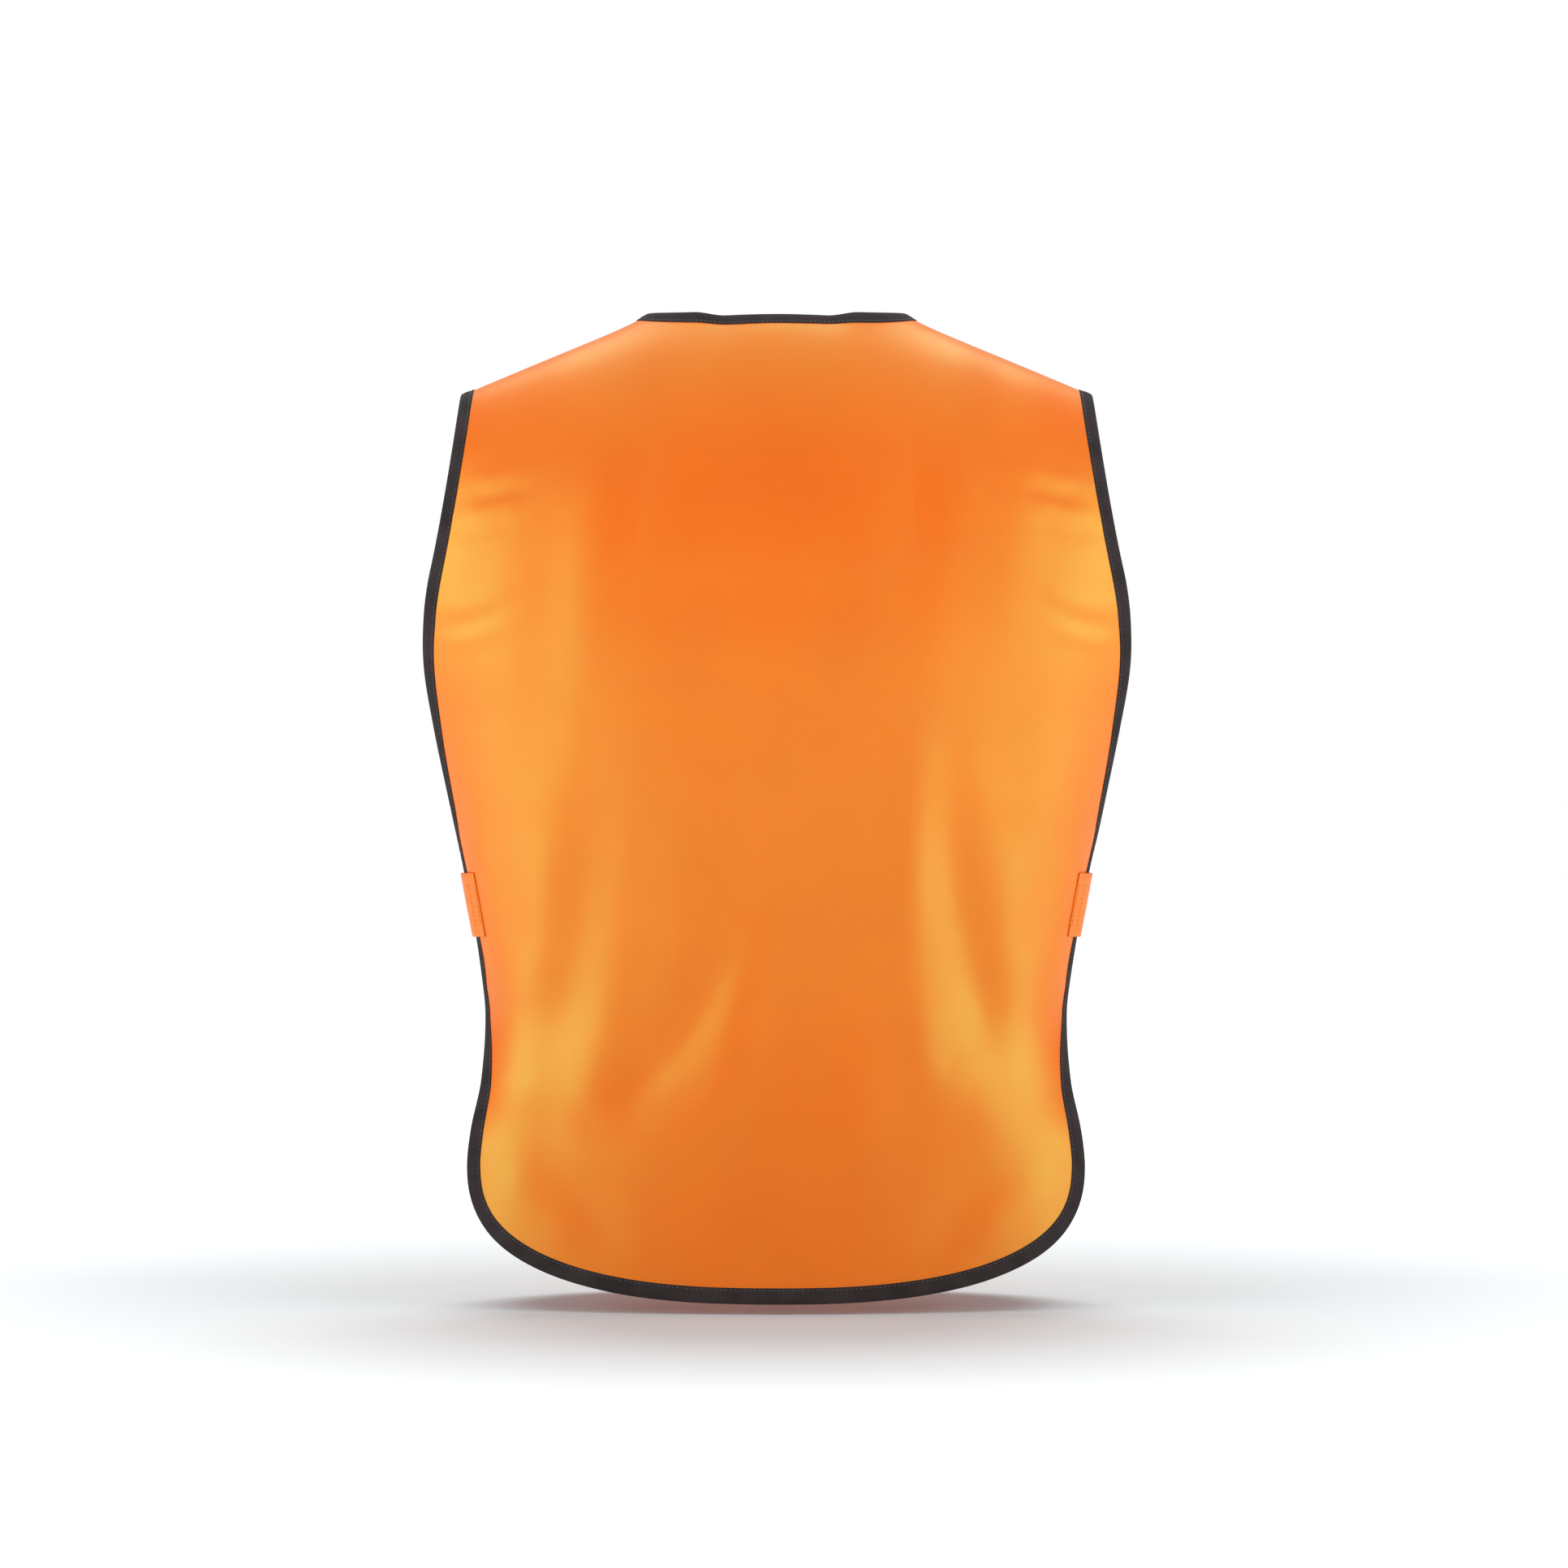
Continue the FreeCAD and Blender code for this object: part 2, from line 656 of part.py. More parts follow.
def bind(sketch, kind, first, second, words):
    """A horizontal or vertical distance between two points of a sketch, bound to the sheet."""
    index = sketch.addConstraint(Sketcher.Constraint(kind, *first, *second, 1.0))
    sketch.setExpression(f"Constraints[{index}]", sheet_value(words))


ORIGIN = (-1, 1)
UPRIGHT_AXIS = -2


def rectangle(sketch, foot_half, top_half, foot, height, below=False):
    """A shape symmetric about the sketch's upright axis: flat foot and top of two widths.

    foot is its foot's distance from the origin, above it, or below it where so marked.
    """
    way = -1 if below else 1
    corners = [Vector(-2, way, 0), Vector(2, way, 0), Vector(2, way + 3, 0), Vector(-2, way + 3, 0)]
    sides = [
        sketch.addGeometry(Part.LineSegment(corners[i], corners[(i + 1) % 4])) for i in range(4)
    ]
    for i, side in enumerate(sides):
        sketch.addConstraint(Sketcher.Constraint("Coincident", side, 2, sides[(i + 1) % 4], 1))
    for side in (sides[0], sides[2]):
        sketch.addConstraint(Sketcher.Constraint("Symmetric", side, 1, side, 2, UPRIGHT_AXIS))
    bind(sketch, "DistanceX", (sides[0], 1), (sides[0], 2), foot_half + " * 2")
    bind(sketch, "DistanceX", (sides[2], 2), (sides[2], 1), top_half + " * 2")
    ends = [ORIGIN, (sides[0], 1)]
    bind(sketch, "DistanceY", *(ends[::-1] if below else ends), foot)
    bind(sketch, "DistanceY", (sides[0], 1), (sides[2], 2), height)


def side_rectangle(sketch, side, near, far, foot, height):
    """A rectangle on one side of the origin, 1 for right and -1 for left, above the origin."""
    corners = [Vector(x * side, y, 0) for x, y in ((2, 1), (5, 1), (5, 4), (2, 4))]
    sides = [
        sketch.addGeometry(Part.LineSegment(corners[i], corners[(i + 1) % 4])) for i in range(4)
    ]
    for i, line in enumerate(sides):
        sketch.addConstraint(Sketcher.Constraint("Coincident", line, 2, sides[(i + 1) % 4], 1))
        direction = "Horizontal" if i % 2 == 0 else "Vertical"
        sketch.addConstraint(Sketcher.Constraint(direction, line))
    for corner, reach in (((sides[0], 1), near), ((sides[1], 1), far)):
        ends = [ORIGIN, corner][::side]
        bind(sketch, "DistanceX", *ends, reach)
    bind(sketch, "DistanceY", ORIGIN, (sides[0], 1), foot)
    bind(sketch, "DistanceY", (sides[0], 1), (sides[2], 2), height)


def extrude(body, kind, sketch, length):
    """A pad or a pocket on both sides of its sketch's plane."""
    sketch.Visibility = False
    feature = body.newObject("PartDesign::" + kind, body.Label + "_" + kind.lower())
    feature.Profile = sketch
    feature.Midplane = True
    feature.setExpression("Length", sheet_value(length))
    return feature


def slider():
    """The slider: two plates joined by a wedge, flanges round the channel, and a crown."""
    body = new_body("zip_slider", "wedge_half + wedge_clear - tooth_tip",
                    "0 - tape_level", "zip_foot + box_height + slider_gap")
    shell = new_sketch(body, "XZ_Plane")
    rectangle(shell, "slider_foot_half", "slider_half", "0", "slider_length")
    extrude(body, "Pad", shell, "( slider_channel + slider_plate ) * 2")
    doc.recompute()
    for half, gap in (("slider_inner", "slider_channel * 2"),
                      ("slider_half * 2", "slider_slit * 2")):
        opening = new_sketch(body, "XZ_Plane")
        rectangle(opening, half, half, "slider_length", "slider_length * 3", below=True)
        rectangle(opening, "wedge_half / 2", "wedge_half", "wedge_foot",
                  "slider_length - wedge_foot - slider_gap")
        extrude(body, "Pocket", opening, gap)
        doc.recompute()
    for kind, radius in (("Pad", "crown_bore + crown_stock"), ("Pocket", "crown_bore")):
        ring = new_sketch(body, "YZ_Plane")
        circle = ring.addGeometry(Part.Circle(Vector(-4, 8, 0), Vector(0, 0, 1), 2))
        bind(ring, "DistanceX", (circle, 3), ORIGIN,
             "slider_channel + slider_plate + crown_lift")
        bind(ring, "DistanceY", ORIGIN, (circle, 3), "crown_level")
        size = ring.addConstraint(Sketcher.Constraint("Radius", circle, 2.0))
        ring.setExpression(f"Constraints[{size}]", sheet_value(radius))
        extrude(body, kind, ring, "crown_half * 2")
        doc.recompute()


def pull_tab():
    """The pull: a plate with a window round the crown and a slot to grip it by."""
    body = new_body("zip_pull_tab", "wedge_half + wedge_clear - tooth_tip",
                    "0 - tape_level - slider_channel - slider_plate - crown_lift",
                    "zip_foot + box_height + slider_gap + crown_level")
    plate = new_sketch(body, "XZ_Plane")
    rectangle(plate, "pull_half", "pull_half", "pull_length", "pull_length + pull_plate / 2",
              below=True)
    extrude(body, "Pad", plate, "pull_plate")
    doc.recompute()
    for foot, top in (("pull_window_foot", "pull_plate / 2"),
                      ("pull_slot_foot", "pull_slot_top")):
        hole = new_sketch(body, "XZ_Plane")
        rectangle(hole, "pull_window_half", "pull_window_half", foot, f"{foot} - {top}",
                  below=True)
        extrude(body, "Pocket", hole, "pull_plate * 2")
        doc.recompute()


def retainer_box():
    """The box at the foot of the right tape, open at the top for the insertion pin."""
    body = new_body("zip_retainer_box", "0 - box_centre", "0 - tape_level", "zip_foot")
    block = new_sketch(body, "XZ_Plane")
    rectangle(block, "box_half", "box_half", "0", "box_height")
    extrude(body, "Pad", block, "box_depth * 2")
    doc.recompute()
    socket = new_sketch(body, "XZ_Plane")
    side_rectangle(socket, 1, "socket_near", "socket_far", "box_height - socket_drop",
                   "socket_drop * 2")
    extrude(body, "Pocket", socket, "socket_half * 2")
    doc.recompute()
    groove = new_sketch(body, "XZ_Plane")
    side_rectangle(groove, -1, "tape_edge - box_centre", "tape_outer - box_centre", "0",
                   "box_height")
    extrude(body, "Pocket", groove, "tape")
    doc.recompute()


def tape_clip(label, side, length, foot, height):
    """A piece gripping the edge of a tape: side is 1 for the wearer's left, -1 for the right."""
    body = new_body(label, f"tooth_tip * {side}", "0 - tape_level", foot)
    clip = new_sketch(body, "XZ_Plane")
    side_rectangle(clip, side, "0", length, "0", height)
    extrude(body, "Pad", clip, "tooth_half * 2")
    doc.recompute()
    groove = new_sketch(body, "XZ_Plane")
    side_rectangle(groove, side, "tape_edge - tooth_tip", "tape_outer", "0", height)
    extrude(body, "Pocket", groove, "tape")
    doc.recompute()


def zip_tape(label, side):
    """A zip tape, a flat strip behind a front panel's folded edge."""
    tape = doc.addObject("Part::Box", label)
    tape.Label = label
    tape.setExpression("Length", sheet_value("tape_outer - tape_edge"))
    tape.setExpression("Width", sheet_value("tape"))
    tape.setExpression("Height", sheet_value("zip_top - zip_foot"))
    near = "tape_edge" if side > 0 else "0 - tape_outer"
    tape.setExpression("Placement.Base.x", sheet_value(near))
    tape.setExpression("Placement.Base.y", sheet_value("0 - tape_level - tape / 2"))
    tape.setExpression("Placement.Base.z", sheet_value("zip_foot"))


def teeth():
    """All of the left tape's teeth, each gripping the tape's edge."""
    tip, half, size = dim["tooth_tip"], dim["tooth_half"], dim["tooth_height"]
    first = dim["zip_foot"] + dim["box_height"] + dim["pin_height"] + size
    tooth = Part.makeBox(dim["tooth_length"], half * 2, size, Vector(tip, -half, first))
    groove = Part.makeBox(dim["tape_outer"], dim["tape"], size * 3,
                          Vector(dim["tape_edge"], -dim["tape"] / 2, first - size))
    tooth = tooth.cut(groove)
    tooth.translate(Vector(0, -dim["tape_level"], 0))
    return Part.Compound([
        tooth.translated(Vector(0, 0, dim["tooth_pitch"] * i)) for i in range(int(dim["tooth_count"]))
    ])


for name, side in (("left", 1), ("right", -1)):
    zip_tape(name + "_zip_tape", side)
    tape_clip(name + "_top_stop", side, "stop_length", "zip_top - stop_height", "stop_height")
tape_clip("zip_insertion_pin", 1, "tooth_length", "zip_foot", "box_height + pin_height")
tape_clip("zip_retainer_pin", -1, "tooth_length", "zip_foot + box_height", "pin_height")
add_pair("zip_teeth", teeth())
retainer_box()
slider()
pull_tab()
doc.recompute()

# ---- checks and export ----------------------------------------------------------------------

KINDS = ("PartDesign::Body", "Part::Feature", "Part::Box")
for made in doc.Objects:
    if "Invalid" in made.State or "Error" in made.State:
        raise RuntimeError(f"{made.Label} did not compute")
pieces = [made for made in doc.Objects if made.TypeId in KINDS]
for piece in pieces:
    if piece.Shape.isNull() or not piece.Shape.isValid():
        raise RuntimeError(f"{piece.Label} has no valid shape")
    if not piece.Shape.Solids:
        raise RuntimeError(f"{piece.Label} is not solid")

os.makedirs("parts", exist_ok=True)
for piece in pieces:
    piece.Shape.exportStep(f"parts/{piece.Label}.step")
print(len(pieces), "parts written")
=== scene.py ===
import json
from math import pi, radians

import bmesh
import bpy
import numpy as np
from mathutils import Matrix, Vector


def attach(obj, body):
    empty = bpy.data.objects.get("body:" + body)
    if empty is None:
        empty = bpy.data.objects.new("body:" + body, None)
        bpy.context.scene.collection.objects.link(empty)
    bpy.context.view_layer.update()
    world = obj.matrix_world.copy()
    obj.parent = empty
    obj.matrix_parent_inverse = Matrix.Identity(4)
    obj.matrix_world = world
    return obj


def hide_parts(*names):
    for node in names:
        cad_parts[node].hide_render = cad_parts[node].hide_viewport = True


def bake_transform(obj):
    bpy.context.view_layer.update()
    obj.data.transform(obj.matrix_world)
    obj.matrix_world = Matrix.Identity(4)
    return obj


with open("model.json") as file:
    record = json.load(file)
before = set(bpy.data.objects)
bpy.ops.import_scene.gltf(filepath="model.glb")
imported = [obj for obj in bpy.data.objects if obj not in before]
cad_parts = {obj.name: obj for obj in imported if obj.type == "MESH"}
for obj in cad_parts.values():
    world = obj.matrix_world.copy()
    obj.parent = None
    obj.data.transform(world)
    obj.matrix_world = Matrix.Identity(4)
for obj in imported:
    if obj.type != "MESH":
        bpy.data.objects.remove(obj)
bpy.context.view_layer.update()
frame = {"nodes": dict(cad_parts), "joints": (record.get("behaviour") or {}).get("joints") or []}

# The vest is worked out in millimetres in the frame's own axes: +Z up, the wearer faces -Y,
# +X is the wearer's left. FRONT and BACK are the sign of Y on the two cloth surfaces.
MM = 0.001
FRONT, BACK = -1, 1

# the neckline, then the shoulders and the arch that carries the cloth over them
NECK_HALF, SEAM_HALF, NECK_BACK, VEE_LEVEL, VEE_POWER = 86, 96, 49, -172, 1.2
TIP_HALF, FALL, ROUNDING, ARCH_RUN, ARMHOLE_POWER = 212, 0.44, 60, 225, 1.3
# the hem's lowest level, and the level where its corners begin
HEM = {BACK: -652, FRONT: -640}
CORNER = {BACK: -563, FRONT: -565}
HEM_POWER, FRONT_DEPTH, FRONT_EDGE = 2.6, 116, 10.5
# the bindings: how far they wrap past the cloth's edge, their widths, and the level under each
# side tab where the armhole's meets the hem's
LIP = 1.0
WIDTHS = {"hem": 10.8, "armhole": 9.5, "neck": 9.5}
TRIM_MEET = -390
# the side tabs: levels, angles round the body in degrees, and heights off the cloth
TAB_TOP, TAB_FOOT, TAB_REAR, TAB_FRONT, TAB_LIFT = -369, -412, 95, 59, 3.5
TAB_SEWN, SEWN_LIFT, TAB_THICKNESS = 105, 1.0, 0.9
TAPE_LEVEL, ZIP_TOP, ZIP_FOOT = 114.2, -193, -628
CLOTH_HALF = 0.4

# (level, value) stations from the hem up. spread and depth are the half axes of the body's section,
# and half is the distance from the centre line to the cloth's side edge.
PROFILES = {
    ("spread", BACK): [(-660, 235), (-555, 227), (-509, 202), (-465, 194), (-412, 202),
                       (-369, 210), (-336, 216.4), (-271, 232.5), (-222, 251), (-172, 266)],
    ("depth", BACK): [(-660, 97), (-560, 92), (-465, 88), (-380, 94), (-300, 104),
                      (-222, 111), (-172, 111)],
    ("half", BACK): [(-660, 205.4), (-567, 205.4), (-541, 202.7), (-509, 196), (-465, 193.6),
                     (-440, 196.4), (-412, 201.8), (-369, 209.8), (-336, 216), (-271, 228.2),
                     (-222, 234.5), (-172, 230.2), (-122, 214.5)],
    ("spread", FRONT): [(-650, 208), (-560, 200), (-465, 192), (-412, 201), (-369, 209),
                        (-300, 222), (-222, 236), (-172, 245)],
    ("depth", FRONT): [(-650, FRONT_DEPTH), (-172, FRONT_DEPTH)],
    ("half", FRONT): [(-650, 195), (-550, 194), (-509, 189), (-465, 186), (-412, 194),
                      (-369, 200), (-345, 198), (-290, 184), (-222, 172), (-172, 176),
                      (-122, 205.4)],
}


# ---- the two cloth surfaces ------------------------------------------------------------------


def cubic(knots, values, slope, ask):
    """The smooth curve through values, with the slopes given at its knots."""
    i = np.clip(np.searchsorted(knots, ask, side="right") - 1, 0, len(knots) - 2)
    run = knots[i + 1] - knots[i]
    w = (ask - knots[i]) / run
    if values.ndim > 1:
        beside = (...,) + (None,) * (values.ndim - 1)
        run, w = run[beside], w[beside]
    return (values[i] * (1 + 2 * w) * (1 - w) ** 2 + values[i + 1] * w * w * (3 - 2 * w)
            + slope[i] * run * w * (1 - w) ** 2 - slope[i + 1] * run * w * w * (1 - w))


def one_profile(stations, level):
    """A smooth curve through (level, value) stations."""
    z, v = np.array(stations, float).T
    slope = np.zeros(len(z))
    slope[1:-1] = (v[2:] - v[:-2]) / (z[2:] - z[:-2])
    return cubic(z, v, slope, np.clip(level, z[0], z[-1]))


def profile(name, way, level):
    back = one_profile(PROFILES[name, BACK], level)
    return np.where(way > 0, back, one_profile(PROFILES[name, FRONT], level))


def ridge(x):
    """The shoulder line's level at a distance from the centre line."""
    return FALL * (np.hypot(SEAM_HALF, ROUNDING) - np.hypot(x, ROUNDING))


def bare(way, turn, up):
    """The smooth surface: way is FRONT or BACK, turn the angle round the body, up along it."""
    level = VEE_LEVEL + np.minimum(up, 0)
    arch = pi / 2 * np.maximum(up, 0) / ARCH_RUN
    x = profile("spread", way, level) * np.sin(turn)
    y = way * profile("depth", way, level) * np.cos(turn) * np.cos(arch)
    z = level + (ridge(x) - level) * np.sin(arch)
    return np.stack([x, y, z], -1)


def tangents(way, turn, up):
    a, b = 1e-4, 1e-2
    across = (bare(way, turn + a, up) - bare(way, turn - a, up)) / (2 * a)
    along = (bare(way, turn, up + b) - bare(way, turn, up - b)) / (2 * b)
    outward = np.cross(across, along) * -np.asarray(way)[..., None]
    return across, along, outward / np.linalg.norm(outward, axis=-1, keepdims=True)


def cloth_point(way, turn, up, lift=0.0):
    """A point on the folded cloth, or off it by lift."""
    place = bare(way, turn, up)
    outward = tangents(way, turn, up)[2]
    return place + outward * (relief(way, place) + lift)[..., None]


def half_width(way, up):
    """The distance from the centre line to the side edge, up over the arch to the shoulder tip."""
    start = profile("half", way, np.full_like(up, VEE_LEVEL))
    reached = np.sin(pi / 2 * np.clip(up, 0, ARCH_RUN) / ARCH_RUN)
    arch = TIP_HALF + (start - TIP_HALF) * (1 - reached) ** ARMHOLE_POWER
    return np.where(up <= 0, profile("half", way, VEE_LEVEL + up), arch)


def turn_at(way, x, up):
    spread = profile("spread", way, VEE_LEVEL + np.minimum(up, 0))
    return np.arcsin(np.clip(x / spread, -1, 1))


def smooth(low, high, value):
    """0 at low and 1 at high, easing in and out between them."""
    share = np.clip((value - low) / (high - low), 0, 1)
    return share * share * (3 - 2 * share)


# ---- folds -----------------------------------------------------------------------------------

# Each fold: (height, half width, places (x, z) along it). A negative height is a valley.
# The side and front folds are mirrored to the other side.
BACK_FOLDS = [
    (-2.1, 20, [(120, -290), (126, -380), (140, -450), (150, -500)]),
    (0.8, 17, [(92, -380), (104, -440), (122, -510)]),
    (-3.9, 18, [(24, -395), (48, -445), (75, -490), (122, -528)]),
    (2.7, 19, [(-8, -365), (14, -433), (46, -530), (92, -552), (132, -538)]),
    (3.1, 17, [(-94, -296), (-89, -380), (-93, -460), (-104, -505), (-134, -512)]),
    (-3.8, 17, [(-116, -292), (-121, -390), (-134, -450), (-145, -498)]),
    (2.4, 20, [(-150, -330), (-160, -420), (-170, -500)]),
    (2.4, 20, [(158, -330), (165, -420), (172, -490)]),
    (1.2, 18, [(186, -560), (160, -592), (128, -618)]),
    (1.2, 18, [(-186, -560), (-160, -592), (-128, -618)]),
    (-0.8, 16, [(146, -560), (120, -600), (100, -628)]),
    (-0.8, 16, [(-146, -560), (-120, -600), (-100, -628)]),
]
SIDE_FOLDS = [
    (0.5, 6, [(206, -108), (188, -106), (160, -97)]),
    (-0.4, 5, [(208, -119), (188, -118), (158, -112)]),
    (0.6, 6, [(214, -133), (196, -130), (166, -120)]),
    (-0.4, 5, [(217, -145), (198, -143), (168, -136)]),
    (0.6, 7, [(226, -192), (204, -190), (172, -178)]),
    (-0.4, 5, [(228, -204), (206, -203), (176, -194)]),
    (0.6, 7, [(229, -216), (208, -214), (180, -204)]),
    (0.8, 6, [(198, -336), (197, -380), (196, -412)]),
    (-0.7, 6, [(189, -340), (187, -385), (188, -420)]),
]
FRONT_FOLDS = [
    (4.5, 15, [(150, -395), (110, -415), (70, -450), (52, -500)]),
    (-4.5, 13, [(150, -420), (116, -440), (86, -480), (76, -540)]),
    (3.5, 14, [(152, -440), (130, -480), (120, -560)]),
    (-3.5, 14, [(120, -230), (112, -300), (118, -370)]),
    (3.5, 15, [(84, -220), (78, -300), (84, -380)]),
    (2.5, 12, [(130, -90), (118, -150), (112, -210)]),
    (-2.5, 11, [(100, -100), (92, -160), (88, -220)]),
    (2.6, 12, [(60, -560), (52, -600), (50, -630)]),
]


FOLD_STEPS = 110
SWELL_LENGTHS = (150, 110, 80, 60, 45)
SWELL_SHARE = 0.0032
SWELL_SEED = {BACK: 3, FRONT: 8}
# the lift along a side edge, and how far the cloth stands off round the neck
FLARE, FLARE_REACH = 1.2, 5
NECK_STAND, NECK_REACH, FRONT_NECK_RUN = 3.5, 0.18, 300


def curve_through(points, count):
    """Points along a smooth curve through a few places."""
    points = np.array(points, float)
    knots = np.r_[0, np.cumsum(np.linalg.norm(np.diff(points, axis=0), axis=1))]
    return cubic(knots, points, np.gradient(points, knots, axis=0),
                 np.linspace(0, knots[-1], count))


def fold_height(fold, x, z):
    """One fold's height: rounded across, and fading toward both of its ends."""
    height, width, places = fold
    line = curve_through(places, FOLD_STEPS)
    gap2 = np.full(x.shape, 1e9)
    along = np.zeros(x.shape)
    for k, (px, pz) in enumerate(line):
        d2 = (x - px) ** 2 + (z - pz) ** 2
        nearer = d2 < gap2
        gap2 = np.where(nearer, d2, gap2)
        along = np.where(nearer, k / (len(line) - 1), along)
    fade = smooth(0, 0.35, along) * smooth(0, 0.3, 1 - along) * 0.75 + 0.25
    return height * fade * np.exp(-gap2 / width ** 2)


def swell(x, z, seed):
    """Slow, slight unevenness of hanging cloth."""
    rng = np.random.default_rng(seed)
    total = np.zeros(x.shape)
    for wavelength in SWELL_LENGTHS:
        angle, shift = rng.uniform(-0.5, 0.5), rng.uniform(0, 2 * pi)
        total += wavelength * np.sin(
            2 * pi * (x * np.cos(angle) + z * np.sin(angle) * 0.6) / wavelength + shift)
    return total * SWELL_SHARE


def relief(way, place):
    """How far the cloth stands off the smooth surface."""
    x, z = place[..., 0], place[..., 2]
    way = np.broadcast_to(way, x.shape)
    total = np.zeros(x.shape)
    back = way > 0
    if back.any():
        bx, bz = x[back], z[back]
        found = sum(fold_height(fold, bx, bz) for fold in BACK_FOLDS)
        found = found + sum(fold_height(fold, np.abs(bx), bz) for fold in SIDE_FOLDS)
        total[back] = found + swell(bx, bz, SWELL_SEED[BACK])
    if (~back).any():
        fx, fz = np.abs(x[~back]), z[~back]
        found = sum(fold_height(fold, fx, fz) for fold in FRONT_FOLDS)
        calm = smooth(14, 50, fx)
        total[~back] = (found + swell(x[~back], fz, SWELL_SEED[FRONT])) * calm
    wall = np.clip(z - VEE_LEVEL, None, 0)
    side = half_width(way, wall) - np.abs(x)
    flare = FLARE * np.exp(-np.clip(side, 0, None) / FLARE_REACH)
    near_seam = smooth(45, 4, np.abs(place[..., 1])) * smooth(-150, -80, z)
    neck_run = np.where(way > 0, NECK_BACK, FRONT_NECK_RUN)
    neck = np.hypot(x / NECK_HALF, place[..., 1] / neck_run) - 1
    near_neck = np.exp(-np.clip(neck, 0, None) / NECK_REACH) * smooth(-60, -10, z)
    near_tab = np.exp(-((z - TRIM_MEET) / 40) ** 4) * smooth(60, 20, side)
    free = (1 - near_seam) * (1 - near_tab) * (1 - near_neck)
    return (total + flare) * free + NECK_STAND * near_neck * smooth(34, 54, np.abs(x))


# ---- outlines --------------------------------------------------------------------------------


def hem_height(way, share):
    """The hem's level where share is the distance out, 0 at the centre and 1 at the corner."""
    drop = CORNER[way] - HEM[way]
    return CORNER[way] - drop * (1 - np.clip(share, 0, 1) ** HEM_POWER) ** (1 / HEM_POWER)


def corner_half(way):
    """The distance from the centre line to a hem's corner."""
    return profile("half", way, np.array(float(CORNER[way])))


def vee_x(height):
    """The V neckline's distance from the centre line at a height."""
    top = ridge(NECK_HALF)
    share = np.clip(1 - (height - top) / (VEE_LEVEL - top), 0, 1) ** (1 / VEE_POWER)
    return FRONT_EDGE + (NECK_HALF - FRONT_EDGE) * share


def neck_table():
    """For the front: the neckline's x at distances up the arch, by solving for each."""
    ups = np.linspace(0, ARCH_RUN, 200)
    low, high = np.full(200, float(FRONT_EDGE)), np.full(200, float(NECK_HALF))
    for _ in range(40):
        x = (low + high) / 2
        height = VEE_LEVEL + (ridge(x) - VEE_LEVEL) * np.sin(pi / 2 * ups / ARCH_RUN)
        short = x < vee_x(height)
        low, high = np.where(short, x, low), np.where(short, high, x)
    return ups, x


def back_neck(angles):
    """(turn, up) round the back neckline; angle 90 is the left neck point, 0 the centre."""
    x, y = NECK_HALF * np.sin(angles), NECK_BACK * np.cos(angles)
    turn = turn_at(BACK, x, 0)
    depth = profile("depth", BACK, VEE_LEVEL)
    up = np.arccos(np.clip(y / (depth * np.cos(turn)), 0, 1)) * ARCH_RUN * 2 / pi
    return turn, up


# ---- meshes ----------------------------------------------------------------------------------


def grid_faces(rows, columns, wrap=False):
    reach = columns if wrap else columns - 1
    r, c = np.meshgrid(np.arange(rows - 1), np.arange(reach), indexing="ij")
    after = (c + 1) % columns
    quads = [r * columns + c, r * columns + after, (r + 1) * columns + after, (r + 1) * columns + c]
    return np.stack(quads, -1).reshape(-1, 4)


def tube_faces(rows, columns):
    """A closed tube's faces: its wall, and a cap at each end."""
    wall = [tuple(f) for f in grid_faces(rows, columns, wrap=True)]
    return wall + [tuple(range(columns)), tuple(range((rows - 1) * columns, rows * columns))]


def new_piece(name, points, faces, material, uv=None):
    """A mesh object from points in millimetres."""
    mesh = bpy.data.meshes.new(name)
    mesh.from_pydata((np.asarray(points).reshape(-1, 3) * MM).tolist(), [], [list(f) for f in faces])
    if uv is not None:
        layer = mesh.uv_layers.new(name="UVMap")
        corner_vertex = np.empty(len(mesh.loops), int)
        mesh.loops.foreach_get("vertex_index", corner_vertex)
        layer.data.foreach_set("uv", uv.reshape(-1, 2)[corner_vertex].ravel())
    mesh.polygons.foreach_set("use_smooth", [True] * len(mesh.polygons))
    if material:
        mesh.materials.append(material)
    mesh.update()
    piece = bpy.data.objects.new(name, mesh)
    bpy.context.scene.collection.objects.link(piece)
    outward_faces(mesh)
    return piece


def outward_faces(mesh):
    shape = bmesh.new()
    shape.from_mesh(mesh)
    bmesh.ops.recalc_face_normals(shape, faces=shape.faces)
    shape.to_mesh(mesh)
    shape.free()


def apply_modifiers(piece):
    with bpy.context.temp_override(object=piece, active_object=piece, selected_objects=[piece]):
        for modifier in list(piece.modifiers):
            bpy.ops.object.modifier_apply(modifier=modifier.name)


def thicken(piece, thickness):
    """Gives a sheet its thickness, half of it on each side."""
    solid = piece.modifiers.new("thickness", "SOLIDIFY")
    solid.thickness, solid.offset = thickness * MM, 0


def measured_uv(points):
    """A flat map of a grid of points, in units of 100 mm, by distance along its middle lines."""
    rows, columns = points.shape[:2]
    step_r = np.linalg.norm(np.diff(points, axis=0), axis=2)
    step_c = np.linalg.norm(np.diff(points, axis=1), axis=2)
    v = np.vstack([np.zeros(columns), np.cumsum(step_r, axis=0)])
    u = np.hstack([np.zeros((rows, 1)), np.cumsum(step_c, axis=1)])
    u = u - u[:, columns // 2][:, None]
    return np.stack([u, v - v[-1]], -1) / 100


# How a panel is hung: its grid is COARSE times wider than the mesh, the cloth is cut larger by
# OVER_CUT, every point is held by LEAST_HOLD or more, and none moves over MOST_MOVED.
COARSE = 4
SETTLING_FRAMES = 24
OVER_CUT = 0.001
LEAST_HOLD = 0.5
MOST_MOVED = 7.0
EVENING_PASSES = 5
HELD_FROM, HELD_FULLY = 46, 16


